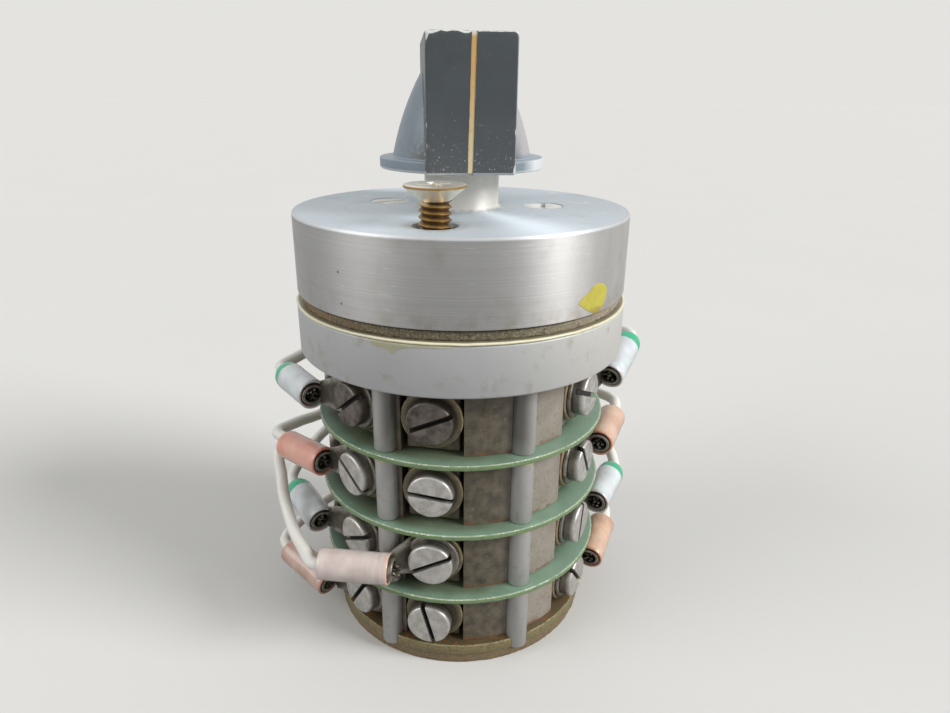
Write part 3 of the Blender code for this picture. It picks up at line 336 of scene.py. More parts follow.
# %% A class for finishes
class Finish:
    """Node layers that end in one shader."""

    def __init__(self, name, roughness, metallic=0.0, **sockets):
        self.material = bpy.data.materials.new(name)
        self.material.use_nodes = True
        self.tree = self.material.node_tree
        self.shader = self.tree.nodes["Principled BSDF"]
        self.shader.inputs["Roughness"].default_value = roughness
        self.shader.inputs["Metallic"].default_value = metallic
        for socket, value in sockets.items():
            self.shader.inputs[socket.replace("_", " ")].default_value = value
        self.place = self.node("ShaderNodeTexCoord").outputs["Object"]
        self.colour = None
        self.heights = None

    def node(self, kind, inputs=(), **settings):
        made = self.tree.nodes.new(kind)
        for key, value in settings.items():
            setattr(made, key, value)
        for socket, source in dict(inputs).items():
            self.feed(made.inputs[socket], source)
        return made

    def feed(self, socket, source):
        if isinstance(source, bpy.types.NodeSocket):
            self.tree.links.new(source, socket)
        else:
            socket.default_value = source

    def math(self, operation, first, second=0.0):
        return self.node("ShaderNodeMath", {0: first, 1: second}, operation=operation).outputs[0]

    def mapping(self, source, **inputs):
        return self.node("ShaderNodeMapping", {"Vector": source, **inputs}).outputs[0]

    def mapped(self, stretch=(1, 1, 1), size=1.0, turn=0.0, shift=(0, 0, 0)):
        """The piece's own coordinates, centred and turned, one unit of pattern to each size in mm."""
        centred = self.mapping(self.place, Location=[-value * MM for value in shift])
        spun = self.mapping(centred, Rotation=(0, 0, -math.radians(turn)))
        return self.mapping(spun, Scale=[value / (size * MM) for value in stretch])

    def radius(self):
        """Distance from the switch's axis, in metres."""
        flat = self.mapping(self.place, Scale=(1, 1, 0))
        return self.node("ShaderNodeVectorMath", {0: flat}, operation="LENGTH").outputs["Value"]

    def axis(self, letter, source=None):
        return self.node("ShaderNodeSeparateXYZ", {0: source or self.place}).outputs[letter]

    def cloud(self, size, detail=2.0, stretch=(1, 1, 1), seed=0.0, vector=None):
        """Soft noise from 0 to 1, with blotches of about this size in mm."""
        inputs = {"Vector": vector or self.mapped(stretch, size), "Scale": 1.0}
        inputs |= {"Detail": detail, "W": seed}
        return self.node("ShaderNodeTexNoise", inputs, noise_dimensions="4D").outputs["Fac"]

    def grains(self, size):
        """Distance to the nearest of many scattered points."""
        inputs = {"Vector": self.mapped(size=size), "Scale": 1.0}
        return self.node("ShaderNodeTexVoronoi", inputs).outputs["Distance"]

    def lathe(self, size):
        """Fine rings on a turned face and fine lines round a turned wall."""
        together = self.node("ShaderNodeCombineXYZ", {0: self.radius(), 1: self.axis("Z")})
        scaled = self.mapping(together.outputs[0], Scale=(1 / (size * MM),) * 3)
        return self.cloud(size, 3.0, vector=scaled)

    def fade(self, value, start, end):
        """0 up to start and 1 from end on, or the other way round."""
        inputs = {"Value": value, "From Min": start, "From Max": end}
        return self.node("ShaderNodeMapRange", inputs).outputs[0]

    def patches(self, size, start, end, detail=4.0, stretch=(1, 1, 1), seed=0.0):
        """Blotches with clearer edges: 0 where the noise is under start and 1 where it is over end."""
        return self.fade(self.cloud(size, detail, stretch, seed), start, end)

    def near(self, here, point, reach):
        """1 at a point and 0 from this far away, both in mm."""
        gap = self.node("ShaderNodeVectorMath", {0: here, 1: point}, operation="DISTANCE")
        return self.fade(gap.outputs["Value"], reach, 0.0)

    def plus(self, first, *others):
        for other in others:
            first = self.math("ADD", first, other)
        return first

    def share(self, value, amount):
        return self.math("MULTIPLY", value, amount)

    def both(self, first, *others):
        """1 only where all of them are."""
        for other in others:
            first = self.math("MULTIPLY", first, other)
        return first

    def noted(self, name):
        """A number that mark() wrote on the piece."""
        return self.node("ShaderNodeAttribute", attribute_name=name).outputs["Fac"]

    def ground(self, first, second, value):
        """The two main colours, mixed by a pattern."""
        self.colour = self.mix(value, first, second)
        return self

    def mix(self, value, first, second):
        """Two colours, each off a picker or from other nodes, mixed by a pattern."""
        first, second = (paint(*tone) if isinstance(tone, tuple) else tone for tone in (first, second))
        made = self.node("ShaderNodeMix", {0: value, 6: first, 7: second}, data_type="RGBA")
        return made.outputs[2]

    def layer(self, value, colour, amount=1.0):
        """A colour laid over what is there, by this amount where the value is 1."""
        self.colour = self.mix(self.share(value, amount), self.colour, colour)
        return self

    def raise_by(self, value, depth):
        """A fine surface relief, with its depth in mm."""
        height = self.math("MULTIPLY", value, depth * MM)
        self.heights = height if self.heights is None else self.math("ADD", self.heights, height)
        return self

    def blotches(self, colour, amount, size, start, end, detail=4.0, stretch=(1, 1, 1), seed=0.0):
        """A colour laid over what is there, by an amount, in patches of a size. They begin and end at
        these levels of the noise."""
        return self.layer(self.patches(size, start, end, detail, stretch, seed), colour, amount)

    def grain(self, size, depth):
        """The plain fine relief of most surfaces, both numbers in mm."""
        return self.raise_by(self.cloud(size, 3.0, seed=1.0), depth)

    def gloss(self, size, low, high):
        """Roughness that goes from low to high in clouds of this size."""
        return self.vary("Roughness", self.cloud(size, 3.0, seed=2.0), low, high)

    def vary(self, socket, value, low, high):
        made = self.node("ShaderNodeMapRange", {"Value": value, "To Min": low, "To Max": high})
        self.feed(self.shader.inputs[socket], made.outputs[0])
        return self

    def done(self):
        self.feed(self.shader.inputs["Base Color"], self.colour)
        if self.heights is not None:
            inputs = {"Height": self.heights, "Distance": 1.0, "Strength": 1.0}
            self.feed(self.shader.inputs["Normal"], self.node("ShaderNodeBump", inputs).outputs[0])
        return self.material


# %% [markdown]
# The knob is a bar that grows out of a round dome, which stands on a thin round skirt. The body is
# grey enamel; years of use chipped its edges to the pale layer below. A bar could be drawn as a box,
# but its corners would be too clean: so it is divided first, rounded, and then the vertices near an
# edge are knocked back here and there.

# %% Knob sizes
PLATE_TOP = 64.4
KNOB_FOOT = PLATE_TOP + 5.5
KNOB_TURN = 7.2
SKIRT_RADIUS = 11.4
SKIRT_HEIGHT = 1.45
BAR = Vector((11.2, 23.4, 16.5))
BAR_TAPER = 0.55
DOME_FOOT, DOME_TOP, DOME_HEIGHT, DOME_BULGE = 9.6, 5.0, 13.2, 0.55
# Where the enamel is chipped most: a place on the bar, how wide and how far in, in mm
CHIPS = (
    ((-5.2, -11.7, 16.4), 1.5, 0.6), ((-0.75, -11.7, 16.5), 0.9, 0.4), ((5.6, -11.7, 16.3), 0.6, 0.2),
    ((5.6, -11.7, 0.5), 1.1, 0.4), ((-3.1, -11.7, 16.5), 0.7, 0.12), ((-5.6, -11.7, 6.0), 0.6, 0.15),
    ((5.6, -11.7, 5.2), 0.7, 0.15), ((-5.6, -11.7, 3.6), 0.5, 0.1),
)
knob_place = standing(0, 0, KNOB_FOOT, KNOB_TURN)
print("the knob's top is at", KNOB_FOOT + BAR.z, "mm")


# %% Grey enamel, with chips along the bar's edges
def knob_enamel():
    coat = Finish("knob_enamel", 0.42, Coat_Weight=0.25, Coat_Roughness=0.3)
    here = coat.mapped(turn=KNOB_TURN, shift=(0, 0, KNOB_FOOT))
    x, y, z = (coat.axis(letter, here) for letter in "XYZ")
    half = coat.plus(coat.share(y, -BAR_TAPER / BAR.y), (BAR.x - BAR_TAPER) / 2)
    across = coat.math("SUBTRACT", half, coat.math("ABSOLUTE", x))
    along = coat.math("SUBTRACT", BAR.y / 2, coat.math("ABSOLUTE", y))
    down = coat.math("SUBTRACT", BAR.z, z)
    nearest = coat.math("MINIMUM", across, along)
    furthest = coat.math("MAXIMUM", across, along)
    edge = coat.math("MAXIMUM", nearest, coat.math("MINIMUM", furthest, down))
    worn = coat.share(coat.fade(down, 0.5, 0.3), 0.09)
    for point, size, depth in CHIPS:
        worn = coat.plus(worn, coat.share(coat.near(here, point, size), depth))
    reach = coat.plus(worn, coat.share(coat.cloud(0.8, 4.0, seed=2.0), 0.3))
    chips = coat.fade(coat.math("SUBTRACT", edge, reach), -0.08, -0.14)
    beside = coat.fade(across, 0.0, -0.12)
    corner = coat.both(beside, coat.fade(across, -2.4, -0.4), coat.fade(z, 5.6, 1.6))
    shade_and_grime = coat.both(corner, coat.fade(z, 1.4, 1.55), coat.patches(0.7, 0.34, 0.5, seed=8.0))
    close = coat.fade(coat.math("ABSOLUTE", across), 0.16, 0.08)
    side = coat.both(close, coat.fade(x, -4.4, -4.8), coat.fade(along, 0.15, 0.35))
    lit = coat.both(beside, coat.fade(x, 4.0, 6.0), coat.fade(z, 1.5, 2.2))
    wide = coat.plus(coat.share(coat.radius(), 1 / MM), -SKIRT_RADIUS)
    skirt = coat.both(beside, coat.fade(z, 1.6, 1.5))
    coat.ground((60, 66, 70), (78, 85, 90), coat.cloud(3.5, 4.0))
    coat.layer(coat.fade(z, 10, 0), (100, 103, 106), 0.3)
    # Painted light: the dome and skirt are paler than the bar, and the dome's right side paler still, as
    # lit faces
    coat.layer(beside, (132, 146, 156), 0.85)
    coat.layer(lit, (214, 202, 198), 0.5)
    # Painted shade and grime: darker patches in the corners where the dome meets the bar
    coat.layer(shade_and_grime, (48, 44, 40), 0.9)
    coat.layer(side, (50, 46, 42), 0.55)
    low = coat.plus(coat.share(coat.fade(z, 9.0, 1.0), 0.09), coat.share(side, 0.07))
    specks = coat.fade(coat.plus(coat.cloud(0.26, 1.0, seed=3.0), low), 0.74, 0.78)
    coat.layer(specks, (190, 190, 186), 0.6)
    coat.blotches((158, 163, 168), 0.3, 1.0, 0.76, 0.8, 1.0, (0.3, 1.0, 4.0), seed=9.0)
    strength = coat.plus(coat.share(coat.fade(worn, 0.0, 0.08), 0.5), 0.45)
    coat.layer(coat.both(chips, strength), (232, 232, 227))
    # Painted light: the skirt's top is paler, as lit from above
    coat.layer(coat.both(skirt, coat.fade(z, 1.3, 1.42)), (178, 192, 206), 0.6)
    coat.layer(coat.fade(z, 0.36, 0.2), (206, 210, 212), 0.7)
    # Painted highlights: a pale line down the bar's right edge and a white one on the skirt's right rim
    right_edge_highlight = coat.both(coat.fade(edge, 0.16, 0.06), coat.fade(x, 5.1, 5.3))
    coat.layer(right_edge_highlight, (196, 210, 222), 0.6)
    lip = coat.both(skirt, coat.fade(wide, -0.2, -0.08), coat.fade(x, 7.0, 9.0))
    coat.layer(lip, (232, 234, 234), 0.85)
    coat.raise_by(coat.share(chips, -1.0), 0.04)
    coat.raise_by(coat.cloud(0.5, 3.0, seed=4.0), 0.01)
    coat.vary("Roughness", coat.cloud(2.0, 3.0, seed=6.0), 0.34, 0.55)
    return coat.done()


# %% Dome and skirt, turned
DOME_STEPS, DOME_FILLET = 10, 0.25
SKIRT_EDGE, SKIRT_FOOT_EDGE = 0.18, 0.15


def dome_outline():
    """From the middle of the top down to the skirt's foot: the dome's side is a shallow arc."""
    foot, top = Vector((DOME_FOOT, SKIRT_HEIGHT)), Vector((DOME_TOP, DOME_HEIGHT))
    along = top - foot
    out = Vector((along.y, -along.x)).normalized()
    side = []
    for step in range(DOME_STEPS, -1, -1):
        part = step / DOME_STEPS
        side.append(tuple(foot + along * part + out * DOME_BULGE * 4 * part * (1 - part)))
    skirt = top_corner(SKIRT_RADIUS, SKIRT_HEIGHT, SKIRT_EDGE)
    foot_edge = [(SKIRT_RADIUS, SKIRT_FOOT_EDGE), (SKIRT_RADIUS - SKIRT_FOOT_EDGE, 0), (0, 0)]
    return [(0, DOME_HEIGHT)] + side + [(DOME_FOOT + DOME_FILLET, SKIRT_HEIGHT)] + skirt + foot_edge


knob = turned("bar_knob", dome_outline())
print("dome and skirt", len(knob.data.polygons), "faces")

# %% Bar, with its edges knocked about
EDGE_ROUND, EDGE_REACH, BAR_CUTS = 0.2, 0.5, 28
KNOCK, KNOCKS_START, CHIP_SHARE = 0.06, 2.0, 0.35


def knocked(place):
    """How far a vertex near an edge of the bar is pushed in, where the enamel is chipped."""
    reach = sorted((BAR.x / 2 - abs(place.x), BAR.y / 2 - abs(place.y), BAR.z - place.z))
    if reach[1] > EDGE_REACH or place.z < KNOCKS_START:
        return Vector()
    hit = max(0.0, noise.noise(place * 0.9 + Vector((3, 7, 1))) - 0.1) * KNOCK
    for point, size, depth in CHIPS:
        hit += CHIP_SHARE * depth * max(0.0, 1 - (place - Vector(point)).length / size)
    down = -0.8 if place.z > BAR.z - 0.6 else 0
    return hit * Vector((-place.x / BAR.x * 2, -place.y / BAR.y * 2, down))


def tapered(place):
    """The bar is a little narrower at its back."""
    return Vector((-place.x / BAR.x * 2 * BAR_TAPER * (place.y / BAR.y + 0.5), 0, 0))


bar = block("bar", BAR, Matrix.Translation(UP * BAR.z / 2 * MM), cuts=BAR_CUTS)
soften(bar, EDGE_ROUND, segments=3)
push(bar, knocked)
push(bar, tapered)
carve(knob, bar, operation="UNION")
print("with the bar", len(knob.data.polygons), "faces")

# %% Index groove, shaft bore and the hole for the set screw
# Room round whatever passes through a hole
ROOM = 0.05
GROOVE_WIDTH, GROOVE_DEPTH, GROOVE_OVER = 0.72, 0.25, 1
KNOB_BORE = 12
SET_SCREW_AZIMUTH, SET_SCREW_HEIGHT, SET_SCREW_HOLE = 130, 4.2, 1.45
SET_SCREW_ROOM = 14
shaft_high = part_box("shaft")[1]
shaft_radius = max(shaft_high.x, shaft_high.y) / MM
LEAN, LINE_MIDDLE, LINE_TOP = math.radians(1.45), 0.06, 0.27
lean = Matrix.Rotation(LEAN, 4, "Y")
front = Matrix.Translation(Vector((LINE_MIDDLE, -BAR.y / 2, BAR.z / 2)) * MM) @ lean
top = Matrix.Translation(Vector((LINE_TOP, -BAR.y / 4, BAR.z)) * MM)
front_groove = block("front_groove", (GROOVE_WIDTH, GROOVE_DEPTH * 2, BAR.z + 2 * GROOVE_OVER), front)
top_groove = block("top_groove", (GROOVE_WIDTH, BAR.y / 2 + GROOVE_OVER, GROOVE_DEPTH * 2), top)
bore = peg("bore", shaft_radius + ROOM, -1, KNOB_BORE, 48)
screw_hole = peg("screw_hole", SET_SCREW_HOLE, 0, SET_SCREW_ROOM)
settle(screw_hole, facing_out(SET_SCREW_AZIMUTH, shaft_radius, SET_SCREW_HEIGHT))
carve(knob, front_groove, top_groove, bore, screw_hole)
settle(knob, knob_place)
finished(knob, knob_enamel(), "selector", "knob_enamel", "knob", smooth=38)


# %% [markdown]
# The index line is cream paint wiped into a shallow groove. It is a thin strip of its own, a little
# below the surface, with edges that wander and a colour that goes from tan at the top to cream.

# %% Index line
def index_paint():
    line = Finish("index_paint", 0.6)
    here = line.axis("Z", line.mapped(turn=KNOB_TURN, shift=(0, 0, KNOB_FOOT)))
    line.ground((228, 212, 170), (224, 182, 116), line.fade(here, 2, 12))
    line.blotches((186, 152, 104), 0.3, 0.5, 0.54, 0.66)
    line.layer(line.fade(here, BAR.z - 0.7, BAR.z - 0.4), (238, 230, 206))
    line.grain(0.3, 0.02)
    return line.done()


# The paint is this thick, this much narrower than its groove and this far above its floor
FILL, FILL_WIDTH, FILL_RISE = 0.17, GROOVE_WIDTH * 0.92, 0.005
LINE_PAST_MIDDLE = 0.3


def wandering(place):
    drift = noise.noise(place * 0.8 + Vector((5, 1, 2))) * 0.03
    rough = noise.noise(place * 2.3) * 0.04
    return Vector((rough + drift, 0, 0))


sunk = GROOVE_DEPTH - FILL / 2 + FILL_RISE
front = Matrix.Translation(Vector((LINE_MIDDLE, sunk - BAR.y / 2, BAR.z / 2)) * MM) @ lean
top = Matrix.Translation(Vector((LINE_TOP, LINE_PAST_MIDDLE - BAR.y / 4, BAR.z - sunk)) * MM)
front_line = block("index_line", (FILL_WIDTH, FILL, BAR.z - 0.5), front, cuts=20)
top_line = block("top_line", (FILL_WIDTH, BAR.y / 2 + LINE_PAST_MIDDLE, FILL), top, cuts=20)
index_line = push(gather("index_line", [front_line, top_line]), wandering)
settle(index_line, knob_place)
finished(index_line, index_paint(), "selector", "knob_enamel", "knob")

# %% [markdown]
# The top plate is a thick turned disc with a boss in its middle and three countersunk holes. One
# outline gives the disc, the fillet and the boss; the holes are cut with turned cutters, because a
# countersink is itself a turned shape.

# %% Plate sizes
PLATE_RADIUS, PLATE_FLOOR = 23.8, 53.45
BOSS_RADIUS, BOSS_TOP, BOSS_FILLET = 5.25, 69.6, 0.6
BUSHING_BORE = 4.55
SCREW_AZIMUTH, SCREW_CIRCLE = -10.0, 16.4
SCREW_SHANK, SCREW_HOLE_MOUTH = 2.085, 2.93
COVER_SCREWS = {"left": (-113.8, 35), "right": (96.8, 85)}
COVER_CIRCLE, COVER_HEAD, COVER_EDGE, COVER_SHANK = 11.9, 2.82, 0.08, 1.6
SINK = math.tan(math.radians(41))
PITS = ((-37.6, 59.2), (-36.9, 55.3))
print("plate", 2 * PLATE_RADIUS, "mm across and", round(PLATE_TOP - PLATE_FLOOR, 2), "mm thick")


# %% Turned aluminium
def plate_aluminium():
    metal = Finish("plate_aluminium", 0.58, Anisotropic=0.85, Anisotropic_Rotation=0.25)
    around = metal.node("ShaderNodeTangent", direction_type="RADIAL", axis="Z")
    metal.feed(metal.shader.inputs["Tangent"], around.outputs[0])
    here = metal.mapped()
    rings = metal.lathe(0.16)
    broad = metal.cloud(7.0, 2.0, (1, 1, 0.05), seed=2.0)
    metal.ground((196, 206, 213), (218, 227, 232), metal.plus(rings, metal.share(broad, 0.15)))
    wall = metal.fade(metal.radius(), 23.3 * MM, 23.6 * MM)
    lines = metal.mix(metal.plus(rings, metal.share(broad, 0.2)), (168, 167, 165), (202, 201, 199))
    metal.layer(wall, lines)
    across, height = metal.axis("X", here), metal.axis("Z", here)
    # Painted light: the wall's right side is paler, as lit by the lamp
    sunny = metal.both(wall, metal.fade(across, 10.0, 20.0))
    pale = metal.mix(metal.cloud(2.5, 2.0, (1, 1, 0.2)), (206, 204, 200), (242, 238, 232))
    metal.layer(sunny, pale, 0.75)
    # Painted highlight: a near-white line along the rounding of the top edge
    corner = metal.fade(metal.radius(), 23.42 * MM, 23.56 * MM)
    metal.layer(metal.both(corner, metal.fade(height, 64.0, 64.16)), (246, 248, 250), 0.85)
    low = metal.both(metal.fade(height, 57.0, 53.6), metal.patches(2.2, 0.46, 0.66, 5.0, seed=7.0))
    metal.layer(low, (150, 134, 110), 0.4)
    stain = metal.patches(5.0, 0.56, 0.72, 5.0, seed=7.0)
    metal.layer(stain, (156, 142, 118), 0.2)
    dirty = [(SCREW_AZIMUTH, SCREW_CIRCLE, 4.6), (0.0, 0.0, 8.0)]
    dirty += [(azimuth, COVER_CIRCLE, COVER_HEAD + 0.55) for azimuth, turn in COVER_SCREWS.values()]
    for azimuth, circle, reach in dirty:
        middle = outward(azimuth) * circle + UP * PLATE_TOP
        close = metal.fade(metal.near(here, middle, reach), 0.0, 0.35)
        ring = metal.both(close, metal.patches(0.9, 0.36, 0.6, seed=6.0))
        metal.layer(ring, (152, 132, 102), 0.5)
    metal.blotches((120, 116, 108), 0.4, 0.35, 0.74, 0.8, 2.0, seed=4.0)
    # Painted light: the boss is painted near white, as it looks lit
    boss_painted_light = metal.mix(metal.cloud(1.6, 3.0, (1, 1, 0.3)), (226, 218, 206), (255, 252, 244))
    metal.layer(metal.fade(height, 64.45, 64.8), boss_painted_light, 0.95)
    scratches = metal.patches(1.0, 0.7, 0.76, 1.0, (0.3, 0.3, 7.0), seed=3.0)
    metal.layer(scratches, (240, 242, 242), 0.5)
    for azimuth, height in PITS:
        pit = metal.near(here, outward(azimuth) * PLATE_RADIUS + UP * height, 0.24)
        metal.layer(metal.fade(pit, 0.0, 0.5), (106, 110, 98), 0.8)
    metal.raise_by(rings, 0.006)
    metal.raise_by(metal.share(scratches, -1.0), 0.01)
    metal.vary("Roughness", metal.plus(metal.share(rings, 0.6), metal.share(stain, 0.6)), 0.52, 0.66)
    metal.vary("Metallic", wall, 0.36, 0.76)
    return metal.done()


# %% Plate, boss and holes
# How far a cutter runs past what it cuts
OVERCUT = 2
PLATE_CORNER, PLATE_FOOT_CORNER, BOSS_CORNER = 0.36, 0.2, 0.15
MOUTH_ROOM = 0.12


def sink_cutter(name, azimuth, circle, mouth, hole):
    """A through hole whose 82 degree countersink has its mouth in the plate's top."""
    depth = (mouth - hole) / SINK
    above, below = PLATE_TOP + OVERCUT, PLATE_FLOOR - OVERCUT
    outline = [(0, above), (mouth, above), (mouth, PLATE_TOP), (hole, PLATE_TOP - depth)]
    outline += [(hole, below), (0, below)]
    return settle(turned(name, outline, 64), standing(azimuth, circle, 0))


def plate_outline():
    boss = [(BUSHING_BORE + BOSS_CORNER, BOSS_TOP)] + top_corner(BOSS_RADIUS, BOSS_TOP, BOSS_CORNER, 2)
    fillet = rim(BOSS_RADIUS + BOSS_FILLET, PLATE_TOP + BOSS_FILLET, BOSS_FILLET, 180, 270, 5)
    edge = top_corner(PLATE_RADIUS, PLATE_TOP, PLATE_CORNER, 5)
    foot = low_corner(PLATE_RADIUS, PLATE_FLOOR, PLATE_FOOT_CORNER, 2)
    bore = [(BUSHING_BORE, PLATE_FLOOR), (BUSHING_BORE, BOSS_TOP - BOSS_CORNER)]
    return boss + fillet + edge + foot + bore + boss[:1]


plate = turned("turned_plate", plate_outline(), 160)
holes = [(SCREW_AZIMUTH, SCREW_CIRCLE, SCREW_HOLE_MOUTH, SCREW_SHANK + ROOM)]
for azimuth, turn in COVER_SCREWS.values():
    holes.append((azimuth, COVER_CIRCLE, COVER_HEAD + MOUTH_ROOM, COVER_SHANK + ROOM))
carve(plate, *[sink_cutter("hole", *hole) for hole in holes])
finished(plate, plate_aluminium(), "stack", "aluminium", "top_plate")


# %% [markdown]
# Two flush screws hold the plate to what is under it, and a third, plated a pale gold, was left
# standing half out of the front hole. Its thread is a real helix: one ridge, swept by the Screw
# modifier round a core.

# %% Screw steels
def screw_steel(name, light, shade, metallic=0.6, gloss=0.28):
    steel = Finish(name, 0.36, metallic)
    steel.ground(shade, light, steel.patches(1.1, 0.3, 0.6, 5.0))
    steel.blotches((122, 98, 74), 0.3, 0.7, 0.6, 0.72, seed=3.0)
    steel.layer(steel.noted("foot"), (84, 72, 58), 0.7)
    # Painted shade: the slot's walls and floor are painted near black
    steel.layer(steel.noted("slot"), (34, 31, 28), 0.92)
    steel.grain(0.35, 0.015)
    steel.gloss(0.9, gloss, gloss + 0.24)
    return steel.done()


def gold_chromate():
    gold = Finish("gold_chromate", 0.34, 0.75)
    gold.ground((200, 176, 126), (238, 228, 204), gold.patches(1.6, 0.34, 0.56, 3.0))
    # Painted reflection: the side facing the camera is deep gold and the sides stay pale, as sheen
    gold.layer(gold.fade(gold.noted("front"), 0.82, 0.93), (180, 142, 84), 0.85)
    gold.layer(gold.noted("rim"), (180, 142, 82))
    gold.layer(gold.noted("crown"), (246, 242, 228))
    gold.layer(gold.noted("thread"), (172, 138, 86))
    # Painted shade: the thread's grooves are dark
    gold.layer(gold.noted("deep"), (52, 34, 20), 0.9)
    gold.blotches((110, 82, 48), 0.3, 0.5, 0.6, 0.72, seed=4.0)
    gold.grain(0.3, 0.012)
    gold.vary("Roughness", gold.cloud(1.1, 3.0, seed=6.0), 0.24, 0.46)
    return gold.done()


# %% Flush screws with their slots
TIP_CORNER = 0.4
FLUSH_SLOT = (9, 0.7, 1.0)


def flat_head(name, head, edge, shank, length, sink=SINK):
    """A countersunk screw whose head's face is at height 0. Points close to each corner keep the
    shading of the cone clean."""
    cone = (head - shank) / sink
    outline = [(0, 0), (head - 0.08, 0), (head, -0.06), (head, -edge - 0.02)]
    outline += [(head - 0.1, -edge - 0.02 - 0.1 / sink), (shank + 0.3, -edge - cone + 0.3 / sink)]
    outline += [(shank, -edge - cone), (shank, TIP_CORNER - length), (shank - TIP_CORNER, -length)]
    return turned(name, outline + [(0, -length)], 64)


steel = screw_steel("bright_steel", (214, 211, 205), (180, 174, 166))
# Painted glare: the cover screws' steel is painted near white and kept barely metallic
glare_pale_steel = screw_steel("glare_pale_steel", (250, 250, 247), (230, 224, 210), 0.1, 0.6)
cover_low, cover_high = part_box("cover_screw_left")
cover_length = (cover_high.z - cover_low.z) / MM
cover_face = cover_high.z / MM
for side, (azimuth, turn) in COVER_SCREWS.items():
    screw = flat_head("flush_screw_" + side, COVER_HEAD, COVER_EDGE, COVER_SHANK, cover_length)
    carve(screw, block("slot", FLUSH_SLOT, Matrix.Rotation(math.radians(turn), 4, "Z")))
    soften(screw, 0.06)
    settle(screw, standing(azimuth, COVER_CIRCLE, cover_face))
    finished(screw, glare_pale_steel, "stack", "bright_steel", "cover_screw_" + side, flat=True)

# %% Loose screw: shank and head
PITCH, CORE = 0.794, 1.66
screw_low, screw_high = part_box("mounting_screw")
screw_face, screw_length = screw_high.z / MM, (screw_high.z - screw_low.z) / MM
HEAD, HEAD_EDGE = 3.83, 0.25
HEAD_SINK = math.tan(math.radians(50))
RECESS_TURNS, RECESS, RECESS_TAPER = (20, 110), (4.2, 0.85, 4.4), 0.18
THREAD_STEPS = 24
cone_end = HEAD_EDGE + (HEAD - CORE) / HEAD_SINK
thread_start = cone_end - 0.6
loose = flat_head("loose_screw", HEAD, HEAD_EDGE, CORE, screw_length, HEAD_SINK)
print("the loose screw is", round(screw_length, 2), "mm long, with a pitch of", PITCH)


# %% Its cross recess
def cross_recess():
    """Two crossed wedges, narrow at the bottom."""
    wings = []
    for turn in RECESS_TURNS:
        wing = block("wing", RECESS, Matrix.Rotation(math.radians(turn), 4, "Z"), cuts=1)
        wings.append(push(wing, lambda place: Vector((place.x, place.y, 0)) * RECESS_TAPER * place.z))
    return wings


# %% Its thread
def thread_ridge():
    """A triangle, swept into a helix from the cone down to the tip."""
    turns = int((screw_length - thread_start - TIP_CORNER) / PITCH)
    take(None)
    bpy.ops.mesh.primitive_plane_add(size=MM, location=(CORE * MM, 0, -thread_start * MM))
    ridge = settle(bpy.context.object, Matrix.Identity(4))
    bpy.ops.object.mode_set(mode="EDIT")
    bpy.ops.mesh.select_all(action="SELECT")
    bpy.ops.mesh.merge(type="CENTER")
    ridge_height = SCREW_SHANK - CORE
    for out, up in ((-0.12, -PITCH), (ridge_height + 0.12, PITCH / 2), (-ridge_height, PITCH / 2)):
        bpy.ops.mesh.extrude_vertices_move(TRANSFORM_OT_translate={"value": (out * MM, 0, up * MM)})
    bpy.ops.object.mode_set(mode="OBJECT")
    modify(
        ridge, "SCREW", axis="Z", angle=math.tau, screw_offset=-PITCH * MM, iterations=turns,
        steps=THREAD_STEPS, render_steps=THREAD_STEPS, use_merge_vertices=True, merge_threshold=1e-7,
        use_normal_calculate=True,
    )
    take(ridge)
    bpy.ops.object.mode_set(mode="EDIT")
    bpy.ops.mesh.select_all(action="SELECT")
    bpy.ops.mesh.fill_holes(sides=6)
    bpy.ops.mesh.normals_make_consistent(inside=False)
    bpy.ops.object.mode_set(mode="OBJECT")
    return ridge


# %% The loose screw put together, with notes for its finish
def across(place):
    return math.hypot(place.x, place.y) or 1e-6


def depth_in_thread(place):
    return (SCREW_SHANK - across(place)) / (SCREW_SHANK - CORE) if place.z < 0.05 - cone_end else 0.0


carve(loose, *cross_recess())
loose = gather("loose_screw", [loose, thread_ridge()])
# How far each point faces the camera, for the painted reflection
mark(loose, "front", lambda place: -place.y / across(place) if place.z < -0.3 else 0.0)
mark(loose, "rim", lambda place: float(place.z > -0.3 and across(place) > HEAD - 0.04))
mark(loose, "crown", lambda place: float(across(place) < HEAD - 0.05 and place.z > -0.3 - across(place)))
mark(loose, "thread", lambda place: float(place.z < 0.05 - cone_end))
# How deep each point lies in the thread, for painted shade in the grooves
mark(loose, "deep", lambda place: min(1.0, max(0.0, depth_in_thread(place))))
settle(loose, standing(SCREW_AZIMUTH, SCREW_CIRCLE, screw_face))
finished(loose, gold_chromate(), "stack", "gold_chromate", "mounting_screw", smooth=40)

# %% [markdown]
# Under the plate come three rings: a granular gasket in shadow, a thin bead of cream sealant that
# was squeezed out, and the grey cup of the housing. The gasket and the bead are turned and then
# roughened by noise, because neither has a clean edge on the real switch.

# %% Housing and seal sizes
HOUSING_RADIUS, HOUSING_INNER, HOUSING_FLOOR, HOUSING_RIM = 24.0, 21.5, 44.7, 51.65
HOUSING_WEB, HOUSING_CORNER = 46.85, 0.3
ROD_AZIMUTHS = (-30.1, 26.7, 151.5, 223.5)
ROD_CIRCLE, ROD_RADIUS, SPACER_RADIUS = 19.64, 1.0, 1.585
SHAFT_ROOM = 4.5
print("the housing is", round(HOUSING_RIM - HOUSING_FLOOR, 2), "mm high")


